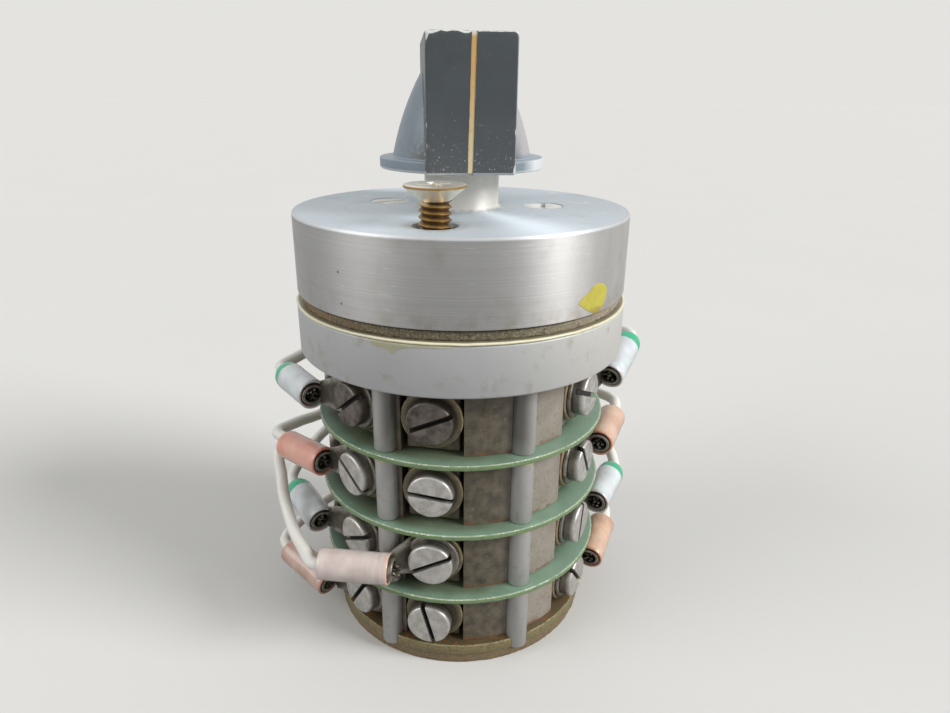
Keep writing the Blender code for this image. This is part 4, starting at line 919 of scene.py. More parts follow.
# %% Finishes of the housing, the gasket and the sealant
def housing_grey():
    grey = Finish("housing_grey", 0.5, 0.15)
    grey.ground((178, 180, 180), (196, 197, 195), grey.cloud(4.0, 4.0))
    grey.layer(grey.lathe(0.22), (164, 164, 161), 0.2)
    # Painted light: the right side is paler, as lit by the lamp
    grey.layer(grey.fade(grey.axis("X"), 4 * MM, 18 * MM), (220, 216, 208), 0.6)
    grey.blotches((150, 138, 112), 0.4, 2.5, 0.58, 0.7, seed=3.0)
    grey.blotches((116, 112, 104), 0.5, 0.3, 0.7, 0.76, 2.0, seed=5.0)
    grey.grain(0.35, 0.02)
    return grey.done()


def gasket_cork():
    cork = Finish("gasket_cork", 0.9)
    cork.ground((116, 108, 88), (154, 147, 124), cork.fade(cork.grains(0.35), 0.5, 0.15))
    left = cork.fade(cork.axis("X"), -6 * MM, -18 * MM)
    rust = cork.both(left, cork.patches(1.1, 0.42, 0.6, seed=5.0))
    cork.layer(rust, (140, 102, 66), 0.7)
    # Painted light: the right side is paler, as lit by the lamp
    cork.layer(cork.fade(cork.axis("X"), 6 * MM, 20 * MM), (186, 172, 152), 0.65)
    cork.blotches((66, 60, 52), 0.6, 0.6, 0.58, 0.66, 3.0)
    # Painted shadow: a dark band along the top, under the plate
    cork.layer(cork.fade(cork.axis("Z"), 53.05 * MM, 53.3 * MM), (48, 44, 40), 0.75)
    cork.raise_by(cork.grains(0.35), 0.08)
    return cork.done()


def sealant(name="sealant", shade=(234, 226, 182), light=(252, 248, 226)):
    cream = Finish(name, 0.35)
    cream.ground(shade, light, cream.cloud(1.2, 3.0))
    cream.blotches((170, 150, 106), 0.4, 0.8, 0.6, 0.7, seed=3.0)
    cream.layer(cream.fade(cream.radius(), 23.85 * MM, 23.7 * MM), (116, 108, 86), 0.9)
    cream.raise_by(cream.cloud(0.4, 2.0, seed=2.0), 0.03)
    return cream.done()


# %% Gasket
GASKET_GRAIN, GASKET_RAGGED, GASKET_STEPS = 0.45, 0.12, 360
GASKET_OUTLINE = [
    (20.6, 53.4), (20.6, 52.05), (23.2, 52.05), (23.35, 52.3),
    (23.3, 52.7), (23.35, 53.1), (23.2, 53.4), (20.6, 53.4),
]


def roughened(place):
    """Noise pushes the gasket's wall in and out, and up and down a little."""
    out = Vector((place.x, place.y, 0)).normalized()
    spot = place / GASKET_GRAIN + Vector((1, 0, 0))
    move = (noise.noise(spot) - 0.4) * GASKET_RAGGED
    return out * move + UP * noise.noise(spot * 1.3) * GASKET_RAGGED * 0.5


gasket = push(turned("cork_gasket", GASKET_OUTLINE, GASKET_STEPS), roughened)
finished(gasket, gasket_cork(), "stack", "gasket_cork", "gasket")


# %% Bead of sealant
def squeezed(place):
    """The bead swells and thins round the rim."""
    out = Vector((place.x, place.y, 0)).normalized()
    swell = noise.noise(out * 9) * 0.07 + noise.noise(out * 30) * 0.05 - 0.03
    return out * swell + UP * noise.noise(out * 14) * 0.04


bead_outline = [(21.0, 51.99), (21.0, 51.68)] + rim(23.95, 51.83, 0.16, -90, 90, 6)
bead = push(turned("sealant_bead", bead_outline + bead_outline[:1], 240), squeezed)
finished(bead, sealant(), "stack", "seal_cream", "seal_bead")

# %% Housing cup, with the guide of the detent spring
GUIDE_WIDTH, GUIDE_INNER, GUIDE_BORE, GUIDE_BORE_LENGTH = 7.0, 13.9, 1.75, 8
cup_low = HOUSING_FLOOR + ROOM
housing_outline = [(0, HOUSING_WEB), (HOUSING_INNER, HOUSING_WEB), (HOUSING_INNER, HOUSING_RIM)]
housing_outline += top_corner(HOUSING_RADIUS, HOUSING_RIM, HOUSING_CORNER)
housing_outline += low_corner(HOUSING_RADIUS, cup_low, HOUSING_CORNER) + [(0, cup_low)]
cup = turned("turned_housing", housing_outline, 144)
guide_outer, guide_height = HOUSING_INNER + ROOM, HOUSING_RIM - HOUSING_WEB
guide_place = facing_out(180, (guide_outer + GUIDE_INNER) / 2, HOUSING_WEB - ROOM + guide_height / 2)
guide = block("guide", (GUIDE_WIDTH, guide_height, guide_outer - GUIDE_INNER), guide_place)
carve(cup, guide, operation="UNION")
spring_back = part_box("detent_spring")[1].y / MM
ball_low, ball_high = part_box("detent_ball")
ball_middle = (ball_low.z + ball_high.z) / 2 / MM
guide_bore = peg("guide_bore", GUIDE_BORE, 0, GUIDE_BORE_LENGTH)
settle(guide_bore, facing_out(180, spring_back - GUIDE_BORE_LENGTH, ball_middle))
carve(cup, guide_bore)
print("the ball's middle is at", round(ball_middle, 2), "mm")

# %% Rooms for the shaft and the rods
STACK_LOW, STACK_HIGH = -1.0, 47.5


def rod_columns(radius):
    """Four round cutters through the stack, one for each rod or for the spacers round it."""
    columns = []
    for azimuth in ROD_AZIMUTHS:
        column = peg("column", radius + ROOM, STACK_LOW, STACK_HIGH)
        columns.append(settle(column, standing(azimuth, ROD_CIRCLE, 0)))
    return columns


carve(cup, peg("shaft_room", SHAFT_ROOM, STACK_LOW, STACK_HIGH), *rod_columns(ROD_RADIUS))
finished(cup, housing_grey(), "stack", "housing_anodised", "housing")

# %% Outlines of the smeared sealant and of a dab of yellow paint, in degrees and heights
SMEAR = (
    (-27.0, 51.6), (-25.2, 50.91), (-22.2, 50.78), (-20.28, 50.51), (-18.72, 50.15), (-17.42, 50.73),
    (-14.95, 51.11), (-11.96, 51.29), (-7.6, 51.36), (-3.33, 51.38), (-0.51, 51.54), (-0.5, 51.62),
)
DAB = (
    (38.53, 55.43), (40.29, 56.07), (43.37, 56.67), (45.16, 57.3), (47.77, 57.43), (50.78, 57.12),
    (52.66, 56.37), (52.77, 55.3), (51.19, 54.37), (49.03, 53.64), (47.11, 53.51), (44.12, 53.95),
    (41.08, 54.65), (39.18, 55.19),
)


# %% Sealant smeared below the bead
def daub(name, outline, radius, thick, corner=1000.0):
    """A thin coat on a round wall, from its outline in degrees and heights. It is cut out flat and
    then bent round; above the corner's height it follows the wall's rounded top."""
    flat = [Vector((math.radians(azimuth) * radius, height, 0)) for azimuth, height in outline]
    middle = sum(flat, Vector()) / len(flat)
    take(None)
    bpy.ops.mesh.primitive_circle_add(vertices=len(flat), radius=MM, fill_type="NGON")
    shape = bpy.context.object
    for vertex, place in zip(shape.data.vertices, reversed(flat)):
        vertex.co = (place - middle) * MM
    pick(shape, lambda face: True)
    bpy.ops.mesh.extrude_region_move(TRANSFORM_OT_translate={"value": (0, 0, 2 * MM)})
    bpy.ops.mesh.select_all(action="SELECT")
    bpy.ops.mesh.normals_make_consistent(inside=False)
    settle(shape, Matrix.Translation(UP * -MM))
    reach = [2 * max(abs(place[axis] - middle[axis]) for place in flat) + 0.4 for axis in (0, 1)]
    coat = carve(block(name, (*reach, thick), cuts=30), shape, operation="INTERSECT")

    def bent(place):
        height = place.y + middle.y
        over = max(0.0, height - corner)
        lean = math.sqrt(max(0.0, HOUSING_CORNER**2 - over**2)) - HOUSING_CORNER
        swell = 1 + 0.5 * noise.noise(place * 1.7)
        out = outward(math.degrees((place.x + middle.x) / radius)) * (radius + lean + place.z * swell)
        return out + UP * height - place

    return push(coat, bent)


SMEAR_THICK, DAB_THICK = 0.07, 0.08
smear = daub("sealant_smear", SMEAR, HOUSING_RADIUS, SMEAR_THICK, HOUSING_RIM - HOUSING_CORNER)
thin_sealant = sealant("thin_sealant", (172, 170, 144), (198, 194, 164))
finished(smear, thin_sealant, "stack", "seal_cream", "seal_bead", smooth=60)


# %% Dab of yellow paint on the plate
def yellow_paint():
    yellow = Finish("yellow_paint", 0.5)
    yellow.ground((188, 176, 66), (222, 212, 92), yellow.cloud(0.9, 4.0))
    height = yellow.plus(yellow.axis("Z"), yellow.share(yellow.cloud(0.7, 3.0), 1.2 * MM))
    yellow.layer(yellow.fade(height, 55.2 * MM, 54.4 * MM), (138, 112, 62), 0.6)
    yellow.grain(0.4, 0.03)
    return yellow.done()


dab = daub("yellow_dab", DAB, PLATE_RADIUS, DAB_THICK)
finished(dab, yellow_paint(), "stack", "aluminium", "top_plate", smooth=60)

# %% [markdown]
# Each wafer is a moulded ring with ten places. Nine of them have a notch with a terminal block, a
# washer and a slotted screw; the tenth is left blank. The notches are one box, copied round the
# ring and cut out together. The real moulding is mottled and stained with rust where it meets the
# discs, so each vertex notes how high it is in its own wafer for the finish to read.

# %% Wafer sizes
WAFERS = {1: (34.4, 44.65), 2: (23.6, 33.6), 3: (12.95, 22.8), 4: (3.35, 12.15)}
WAFER_RADIUS, WAFER_BORE = 19.4, 13.0
PLACES, BLANK = 10, 1
FIRST_PLACE = -10.5
NOTCH_WIDTH, NOTCH_FLOOR, NOTCH_DEPTH = 8.7, 15.6, 8
BLOCK_WIDTH, BLOCK_FACE, BLOCK_GAP, BLOCK_ROOT = 7.3, 18.3, 0.3, 0.3
BLOCK_EDGE, WAFER_EDGE = 0.3, 0.16
WASHER_RADIUS, WASHER_BORE, WASHER_THICK = 4.25, 1.9, 0.8
HEAD_RADIUS, HEAD_HEIGHT, HEAD_ROUND = 3.2, 1.7, 0.38
TERMINAL_SHANK, SHANK_SHOWN = 1.6, 1.2
SLOT_WIDTH, SLOT_DEPTH = 0.72, 1.0
LUG_SEAT = 19.15
# How far each screw's slot is turned, rising to the right, from the front place round by the right
SLOT_TURNS = {
    1: (24, -24, 70, -15, 40, -65, 10, -35, 38),
    2: (-5, -60, 20, 55, -40, 5, 80, -20, -32),
    3: (28, 80, -30, 0, 60, -75, 35, 15, 28),
    4: (-75, -50, 45, -10, 85, 30, -55, 65, 55),
}
TERMINALS = [place for place in range(PLACES) if place != BLANK]


def azimuth_of(place):
    return FIRST_PLACE + 360 / PLACES * place


def terminal_height(wafer):
    return sum(WAFERS[wafer]) / 2


print("terminal heights in mm", {wafer: round(terminal_height(wafer), 2) for wafer in WAFERS})


# %% Finishes of the wafers
def wafer_moulding():
    """Grey-brown, clean at its right front, with painted shade and grime at its front and left."""
    mould = Finish("wafer_moulding", 0.55)
    mould.ground((132, 123, 111), (178, 169, 157), mould.cloud(2.6, 5.0))
    # Painted shade and grime: the front and left are darker, away from the lamp on the right
    spread = mould.plus(mould.axis("X"), mould.share(mould.cloud(2.0, 3.0, seed=9.0), 4 * MM))
    shade_and_grime = mould.mix(mould.patches(1.4, 0.3, 0.7, 5.0, seed=7.0), (52, 46, 36), (112, 102, 84))
    mould.layer(mould.fade(spread, 12.5 * MM, 7.5 * MM), shade_and_grime, 0.9)
    # Painted shade: dark inside the notches
    mould.layer(mould.fade(mould.radius(), 19.2 * MM, 17.2 * MM), (50, 45, 38), 0.75)
    mould.blotches((98, 88, 74), 0.4, 0.5, 0.55, 0.68, 3.0, seed=3.0)
    mould.blotches((196, 188, 176), 0.35, 0.32, 0.66, 0.74, 2.0, seed=5.0)
    broken = mould.patches(2.2, 0.4, 0.56, 2.0, seed=11.0)
    rise = mould.plus(mould.noted("rise"), mould.share(mould.cloud(0.7, 4.0, seed=4.0), -1.0))
    mould.layer(mould.both(broken, mould.fade(rise, 0.05, -0.2)), (126, 84, 56), 0.65)
    drop = mould.plus(mould.noted("drop"), mould.share(mould.cloud(0.8, 4.0, seed=6.0), -1.2))
    mould.layer(mould.fade(drop, 0.05, -0.3), (84, 70, 54), 0.5)
    mould.blotches((128, 76, 46), 0.7, 0.42, 0.68, 0.74, seed=8.0)
    mould.raise_by(mould.cloud(0.4, 4.0, seed=1.0), 0.03)
    mould.gloss(1.4, 0.42, 0.68)
    return mould.done()


def washer_brass():
    brass = Finish("washer_brass", 0.4, 0.4)
    brass.ground((92, 84, 66), (136, 126, 104), brass.cloud(1.4, 4.0))
    brass.blotches((78, 66, 48), 0.5, 0.6, 0.56, 0.68, seed=3.0)
    # Painted shadow: a dark ring round the screw's head
    brass.layer(brass.noted("head_shadow"), (44, 38, 30), 0.6)
    # Painted light: washers on the right side are paler, as lit by the lamp
    brass.layer(brass.fade(brass.axis("X"), 9 * MM, 14 * MM), (172, 146, 124), 0.6)
    worn = brass.both(brass.noted("edge"), brass.patches(1.2, 0.42, 0.62, 3.0, seed=5.0))
    brass.layer(worn, (186, 164, 112), 0.75)
    brass.grain(0.4, 0.02)
    brass.gloss(0.9, 0.3, 0.6)
    return brass.done()


# %% Wafer rings
def at_terminals(model, radius, height):
    """Copies of a model at all the terminals of a wafer, joined into one. The model is used up."""
    copies = []
    for place in TERMINALS:
        copies.append(copy_of(model, "copy", facing_out(azimuth_of(place), radius, height)))
    bpy.data.objects.remove(model)
    return gather("copies", copies)


def wafer_ring(wafer):
    floor, ceiling = WAFERS[wafer]
    height = ceiling - floor
    middle = terminal_height(wafer)
    outline = [(WAFER_RADIUS, floor), (WAFER_RADIUS, ceiling), (WAFER_BORE, ceiling), (WAFER_BORE, floor)]
    ring = turned(f"moulded_wafer_{wafer}", outline + outline[:1], 120)
    notch = block("notch", (NOTCH_WIDTH, height + OVERCUT, NOTCH_DEPTH))
    carve(ring, at_terminals(notch, NOTCH_FLOOR + NOTCH_DEPTH / 2, middle))
    deep = BLOCK_FACE - NOTCH_FLOOR + BLOCK_ROOT
    stud = soften(block("stud", (BLOCK_WIDTH, height - 2 * BLOCK_GAP, deep)), BLOCK_EDGE)
    carve(ring, at_terminals(stud, BLOCK_FACE - deep / 2, middle), operation="UNION")
    carve(ring, *rod_columns(SPACER_RADIUS))
    soften(ring, WAFER_EDGE, angle=50)
    mark(ring, "rise", lambda place: place.z - floor)
    mark(ring, "drop", lambda place: ceiling - place.z)
    return ring


moulding = wafer_moulding()
for wafer in WAFERS:
    ring = wafer_ring(wafer)
    finished(ring, moulding, "stack", "wafer_moulding", f"stator_{wafer}", smooth=40, flat=True)

# %% [markdown]
# The washer and the screw are made once and copied to all 36 terminals. Each copy gets its own
# slot, turned as the real screw happened to stop. Where a lug lies under the screw, its head stands
# further out by the lug's thickness.

# %% Where the lugs sit
# For each lug its wafer, its place, the side its neck leaves by, how far the sleeve's mouth is out,
# along and up from the terminal, and how many degrees the sleeve turns outward and upward
LUGS = {
    "left_1": (1, 9, -1, 2.35, 8.4, -1.2, -6, 1),
    "left_2": (2, 9, -1, 2.35, 6.6, -0.6, 6, -2),
    "left_3": (3, 9, -1, 2.35, 9.0, -1.4, -7, 7),
    "left_4": (4, 9, -1, 2.35, 7.9, -2.6, 8, 11),
    "front_3": (3, 0, -1, 3.45, 5.4, -0.4, 4, 0),
    "right_1": (1, 2, 1, 2.35, 7.6, 0.1, 0, 18),
    "right_2": (2, 2, 1, 2.35, 5.2, 0.7, -5, 6),
    "right_3": (3, 2, 1, 2.35, 5.9, 0.5, -2, 5),
    "right_4": (4, 2, 1, 2.35, 4.9, 0.5, -5, 10),
}
LUGGED = {(spec[0], spec[1]) for spec in LUGS.values()}
# Two screws of wafer 1, under the housing, take a darker steel: painted shade and grime
SHADED_GRIMY_SCREWS = {(1, 0), (1, 9)}
LOW_SCREW, LOW_SCREW_LEFT, LOW_SCREW_DOWN = (4, 0), 0.5, 0.9
LUGGED_HEAD = 1.4
print(len(LUGGED), "screws hold a lug")

# %% Washer
washer_outline = [(WASHER_BORE, 0)] + rim(WASHER_RADIUS - 0.15, 0.15, 0.15, -90, 0, 2)
washer_outline += rim(WASHER_RADIUS - 0.2, WASHER_THICK - 0.2, 0.2, 0, 90, 3)
washer_outline += [(3.75, WASHER_THICK), (3.45, WASHER_THICK)]
washer_outline += [(WASHER_BORE, WASHER_THICK - 0.05), (WASHER_BORE, 0)]
washer = turned("washer", washer_outline, 48)
mark(washer, "edge", lambda place: float(across(place) > WASHER_RADIUS - 0.12 and place.z > 0.5))
# Where the head's painted shadow falls on the washer
mark(washer, "head_shadow", lambda place: float(across(place) < 3.6))

# %% Slotted screw
head_outline = [(0, -SHANK_SHOWN), (TERMINAL_SHANK, -SHANK_SHOWN), (TERMINAL_SHANK, 0)]
head_outline += rim(HEAD_RADIUS - 0.12, 0.12, 0.12, -90, 0, 2) + [(HEAD_RADIUS, 0.9)]
head_outline += rim(HEAD_RADIUS - HEAD_ROUND, HEAD_HEIGHT - HEAD_ROUND, HEAD_ROUND, 0, 90, 5)
head = turned("head", head_outline + [(0, HEAD_HEIGHT)], 48)
slot_size = (HEAD_RADIUS * 2.5, SLOT_WIDTH, SLOT_DEPTH * 2)
carve(head, block("slot", slot_size, Matrix.Translation(UP * HEAD_HEIGHT * MM)))
soften(head, 0.1, angle=40)


def in_slot(place):
    return float(abs(place.y) < SLOT_WIDTH / 2 + 0.03 and 0.6 < place.z < HEAD_HEIGHT - 0.4)


# The slot's walls and floor, where the finish paints shade
mark(head, "slot", in_slot)
mark(head, "foot", lambda place: float(place.z < 0.95 and across(place) > 2.9))
print("washer and screw", len(washer.data.polygons), "and", len(head.data.polygons), "faces")

# %% Washers and screws at all terminals
brass = washer_brass()
# Painted shade and grime: a darker copy of the steel
shaded_grimy_steel = screw_steel("shaded_grimy_steel", (122, 114, 106), (72, 65, 58))
for wafer in WAFERS:
    washers, heads = [], []
    for place, turn in zip(TERMINALS, SLOT_TURNS[wafer]):
        azimuth, middle = azimuth_of(place), terminal_height(wafer)
        seat = BLOCK_FACE + (LUGGED_HEAD if (wafer, place) in LUGGED else WASHER_THICK)
        sag = Vector()
        if (wafer, place) == LOW_SCREW:
            sag = (sideways(azimuth) * -LOW_SCREW_LEFT - UP * LOW_SCREW_DOWN) * MM
        washers.append(copy_of(washer, "washer", facing_out(azimuth, BLOCK_FACE, middle)))
        made = copy_of(head, "head", Matrix.Translation(sag) @ facing_out(azimuth, seat, middle, turn))
        made.data.materials.append(shaded_grimy_steel if (wafer, place) in SHADED_GRIMY_SCREWS else steel)
        heads.append(made)
    node = f"stator_{wafer}"
    finished(gather(f"washers_{wafer}", washers), brass, "stack", "contact_brass", node, flat=True)
    finished(gather(f"screws_{wafer}", heads), None, "stack", "bright_steel", node, flat=True)
bpy.data.objects.remove(washer)
bpy.data.objects.remove(head)

# %% [markdown]
# Between the wafers lie thin discs of green glass laminate. Their sawn rims are paler and full of
# broken fibres, so the rim is roughened a little and its finish sparkles. The foot of the stack is
# a dirty yellow-green disc on a brown end plate.

# %% Laminate, and the sizes of its sheets
DISC_RADIUS = 22.1
DISC_NUMBERS = (1, 2, 3)
FOOT_RADIUS, FOOT_HEIGHTS = 20.7, (1.65, 3.3)
END_RADIUS, END_HEIGHTS = 20.4, (0.0, 1.6)


def laminate(name, face, shade, edge, sparkle, radius, rusty):
    sheet = Finish(name, 0.42)
    out = sheet.share(sheet.radius(), 1 / MM)
    sheet.ground(shade, face, sheet.plus(sheet.cloud(3.0, 4.0), 0.1))
    sheet.layer(sheet.fade(out, radius - 2.0, radius - 3.2), shade, 0.8)
    # Painted shade and grime: darker at the front and left, next to the wafers
    spread = sheet.plus(sheet.axis("X"), sheet.share(sheet.cloud(2.4, 3.0, seed=12.0), 6 * MM))
    shade_and_grime = sheet.both(sheet.fade(spread, 11 * MM, 6 * MM), sheet.fade(out, radius - 0.8, radius - 2.0))
    sheet.layer(shade_and_grime, (88, 82, 58), 0.55)
    # Painted light: the right side is paler, as lit by the lamp
    sunny = tuple(min(255, level + 34) for level in face)
    sheet.layer(sheet.fade(sheet.axis("X"), 6 * MM, 18 * MM), sunny, 0.45)
    sheet.blotches(edge, 0.2, 0.3, 0.6, 0.7, 1.0, (1, 0.2, 1), seed=2.0)
    sheet.blotches((140, 88, 52), rusty, 0.8, 0.7 - rusty * 0.2, 0.78 - rusty * 0.2, seed=4.0)
    wall = sheet.fade(out, radius - 0.2, radius - 0.1)
    sheet.layer(wall, edge)
    pits = sheet.patches(0.4, 0.5, 0.66, 3.0, (1, 1, 1.6), seed=7.0)
    sheet.layer(sheet.both(wall, pits), shade, 0.6)
    lip = sheet.noted("lip")
    sheet.layer(sheet.both(lip, sheet.patches(2.0, 0.25, 0.6, 3.0, seed=9.0)), sparkle, 0.5)
    clumps = sheet.share(sheet.cloud(1.6, 2.0, seed=13.0), 0.3)
    fibres = sheet.fade(sheet.plus(sheet.cloud(0.34, 2.0, seed=6.0), clumps), 0.69, 0.77)
    sheet.layer(sheet.both(lip, fibres), sparkle, 0.9)
    sheet.raise_by(sheet.cloud(0.2, 3.0, (1, 1, 2), seed=1.0), 0.03)
    return sheet.done()


# The colours of each sheet's face, its shade, its sawn edge and its fibres; its radius; how rusty it is
LAMINATES = {
    "green": ((140, 170, 148), (92, 118, 94), (126, 150, 106), (232, 238, 218), DISC_RADIUS, 0.3),
    "foot": ((104, 92, 64), (70, 60, 42), (134, 122, 86), (176, 166, 124), FOOT_RADIUS, 0.8),
    "end_plate": ((116, 98, 70), (82, 66, 46), (134, 116, 86), (170, 152, 118), END_RADIUS, 0.7),
}
green, yellowed, browned = (laminate(f"{name}_laminate", *colours) for name, colours in LAMINATES.items())
print("laminates", green.name, yellowed.name, browned.name)

# %% Discs, foot and end plate
TORN_WIDTH = 0.3


def sawn(name, radius, low, high, ragged, *rooms):
    """A disc with its shaft hole, a sawn rim and whatever holes the rods need."""
    corner = min(0.1, (high - low) / 4)
    outline = [(SHAFT_ROOM, high), (radius - 0.35, high)] + top_corner(radius, high, corner, 2)
    outline += low_corner(radius, low, corner, 2) + [(SHAFT_ROOM, low), (SHAFT_ROOM, high)]
    sheet = turned(name, outline, 240)

    def torn(place):
        out = Vector((place.x, place.y, 0))
        if out.length < radius - TORN_WIDTH:
            return Vector()
        return out.normalized() * (noise.noise(place * 2.1) - 0.7) * ragged

    def at_lip(place):
        return float(across(place) > radius - TORN_WIDTH and place.z > high - 0.09)

    carve(push(sheet, torn), *rooms)
    return mark(sheet, "lip", at_lip)


for number in DISC_NUMBERS:
    low, high = (corner.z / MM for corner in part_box(f"insulator_disc_{number}"))
    disc = sawn(f"green_disc_{number}", DISC_RADIUS, low, high, 0.08, *rod_columns(ROD_RADIUS))
    finished(disc, green, "stack", "green_laminate", f"insulator_disc_{number}", smooth=45)
foot = sawn("foot_disc", FOOT_RADIUS, *FOOT_HEIGHTS, 0.12, *rod_columns(SPACER_RADIUS))
finished(foot, yellowed, "stack", "foot_laminate", "foot_insulator", smooth=45)
end = sawn("brown_end_plate", END_RADIUS, *END_HEIGHTS, 0.1)
finished(end, browned, "stack", "end_plate_laminate", "end_plate", smooth=45)

# %% [markdown]
# Four rods hold the stack, each with grey spacers that fill the gap between one disc and the next.
# A thin cream rim shows at the top of each spacer, where its end was left bare.


# %% Rods and spacers
def spacer_grey():
    grey = Finish("spacer_grey", 0.42, 0.3)
    grey.ground((158, 156, 152), (192, 190, 187), grey.cloud(2.0, 3.0, (1, 1, 0.3)))
    # Painted shadow: the front rods are darker at the top, in the housing's shadow
    x = grey.axis("X")
    middle = grey.both(grey.fade(x, 10.2 * MM, 8.6 * MM), grey.fade(x, -10.6 * MM, -9.4 * MM))
    upper = grey.both(grey.fade(grey.axis("Z"), 33 * MM, 37 * MM), middle)
    grey.layer(upper, (84, 79, 70), 0.7)
    grey.blotches((140, 118, 92), 0.35, 1.1, 0.58, 0.7, seed=3.0)
    grey.grain(0.3, 0.012)
    return grey.done()


def bare_rim():
    bare = Finish("bare_rim", 0.5)
    bare.ground((176, 160, 120), (222, 212, 184), bare.cloud(0.5, 3.0))
    return bare.done()


ROD_TOP, ROD_CORNER, SPACER_EDGE = 46.5, 0.15, 0.12
RIM_INNER, RIM_OUTER, RIM_FROM, RIM_TO = ROD_RADIUS + 0.1, SPACER_RADIUS + 0.02, 0.05, 0.75
SPACER_ENDS = ((34.4, 44.65), (23.6, 33.6), (12.95, 22.8), (1.65, 12.15))
grey_metal, bare_end = spacer_grey(), bare_rim()
rod_outline = [(0, ROD_TOP), (ROD_RADIUS - ROD_CORNER, ROD_TOP), (ROD_RADIUS, ROD_TOP - ROD_CORNER)]
for low, high in SPACER_ENDS:
    rod_outline += [(ROD_RADIUS, high)] + top_corner(SPACER_RADIUS, high, SPACER_EDGE, 2)
    rod_outline += low_corner(SPACER_RADIUS, low, SPACER_EDGE, 2) + [(ROD_RADIUS, low)]
rod_outline += [(0, low)]
for number, azimuth in enumerate(ROD_AZIMUTHS, 1):
    rod = settle(turned(f"spaced_rod_{number}", rod_outline, 40), standing(azimuth, ROD_CIRCLE, 0))
    finished(rod, grey_metal, "stack", "spacer_grey", f"tie_rod_{number}")
    rims = []
    for low, high in SPACER_ENDS:
        upper, lower = high - RIM_FROM, high - RIM_TO
        collar = [(RIM_INNER, upper), (RIM_OUTER, upper), (RIM_OUTER, lower), (RIM_INNER, lower)]
        rims.append(turned("rim", collar + collar[:1], 40))
    rims = settle(gather(f"spacer_rims_{number}", rims), standing(azimuth, ROD_CIRCLE, 0))
    finished(rims, bare_end, "stack", "spacer_grey", f"tie_rod_{number}")

# %% [markdown]
# Nine of the screws hold a crimped ring lug. A lug is stamped from sheet, so it has a flat ring, a
# tapering neck and a barrel that is squeezed shut on the wire. The mouth of its sleeve is a place
# of its own, with local Z along the sleeve, and everything about the lug is measured from it.

# %% Where each sleeve begins
def sleeve_mouth(name):
    wafer, place, side, out, reach, lift, bend, rise = LUGS[name]
    azimuth = azimuth_of(place)
    bend, rise = math.radians(bend), math.radians(rise)
    flat = sideways(azimuth) * side * math.cos(bend) + outward(azimuth) * math.sin(bend)
    along = (flat * math.cos(rise) + UP * math.sin(rise)).normalized()
    across = UP.cross(along).normalized()
    origin = outward(azimuth) * (LUG_SEAT + out) + sideways(azimuth) * side * reach
    origin.z = terminal_height(wafer) + lift
    return axes(origin * MM, across, along.cross(across), along)


print("mouth heights in mm", {name: round(sleeve_mouth(name).translation.z / MM, 1) for name in LUGS})


# %% Tinned lug metal
def tinned_metal():
    tin = Finish("tinned_lug", 0.35, 0.55)
    tin.ground((112, 108, 96), (178, 174, 164), tin.patches(1.1, 0.3, 0.7))
    tin.blotches((84, 72, 54), 0.5, 0.6, 0.56, 0.68, seed=3.0)
    tin.layer(tin.noted("neck"), (72, 67, 55), 0.75)
    # Painted shade: the inside of the barrel is near black
    tin.layer(tin.noted("inside"), (38, 35, 31), 0.85)
    tin.grain(0.35, 0.03)
    tin.gloss(0.8, 0.26, 0.5)
    return tin.done()


def copper_strands():
    copper = Finish("copper_strands", 0.35, 0.7)
    copper.ground((58, 52, 46), (148, 140, 128), copper.patches(0.5, 0.36, 0.6, 2.0))
    copper.blotches((164, 122, 92), 0.35, 1.3, 0.56, 0.66, 2.0, seed=4.0)
    return copper.done()


# %% Ring, neck and crimped barrel
LUG_THICK = 0.5
BARREL, BARREL_WALL, BARREL_LENGTH = 1.66, 0.4, 5.0
NECK_START, NECK_WIDE, NECK_NARROW, NECK_THICK = 2.9, 6.0, 3.2, 0.42
RING_OUTLINE = [
    (1.7, 0.02), (3.7, 0.02), (3.8, 0.12), (3.8, 0.38), (3.7, LUG_THICK), (1.7, LUG_THICK), (1.7, 0.02),
]
# The barrel's rings of vertices are close together where the crimping tool bites
OUTSIDE_LEVELS = (0.3, 0.6, 1.0, 1.6, 2.2, 2.6, 3.0, 3.4, 4.0, BARREL_LENGTH)
INSIDE_LEVELS = (BARREL_LENGTH, 4.0, 3.4, 3.0, 2.6, 2.2, 1.6, 1.0, 0.5)
# The middle of each crimp and how far it spreads along the barrel
CRIMPS = ((0.7, 0.75), (2.9, 0.7))
tin, copper = tinned_metal(), copper_strands()


def proud(name):
    """How far a barrel stands out of its sleeve."""
    return 0.6 if name == "front_3" else 0.12


def crimped(place):
    """Two dents where the crimping tool bit."""
    bite = sum(math.exp(-(((place.z - middle) / spread) ** 2)) for middle, spread in CRIMPS)
    return Vector((place.x * 0.05, -place.y * 0.2, 0)) * bite


def lug_neck(place_start, place_end, out):
    """A tapering strip from the ring to the barrel, with rounded edges."""
    run = (place_end - place_start).normalized()
    across = out.cross(run).normalized()
    length = (place_end - place_start).length / MM
    strip = block("neck", (NECK_WIDE, NECK_THICK, length), cuts=8)
    narrow = 1 - NECK_NARROW / NECK_WIDE
    push(strip, lambda place: Vector((-place.x * narrow * max(0.0, place.z / length + 0.5), 0, 0)))
    soften(strip, 0.1)
    mark(strip, "neck", lambda place: float(abs(place.x) < NECK_NARROW / 2))
    return settle(strip, axes((place_start + place_end) / 2, across, run.cross(across), run))


print("a barrel stands out by", proud("left_1"), "mm, and the front one by", proud("front_3"))

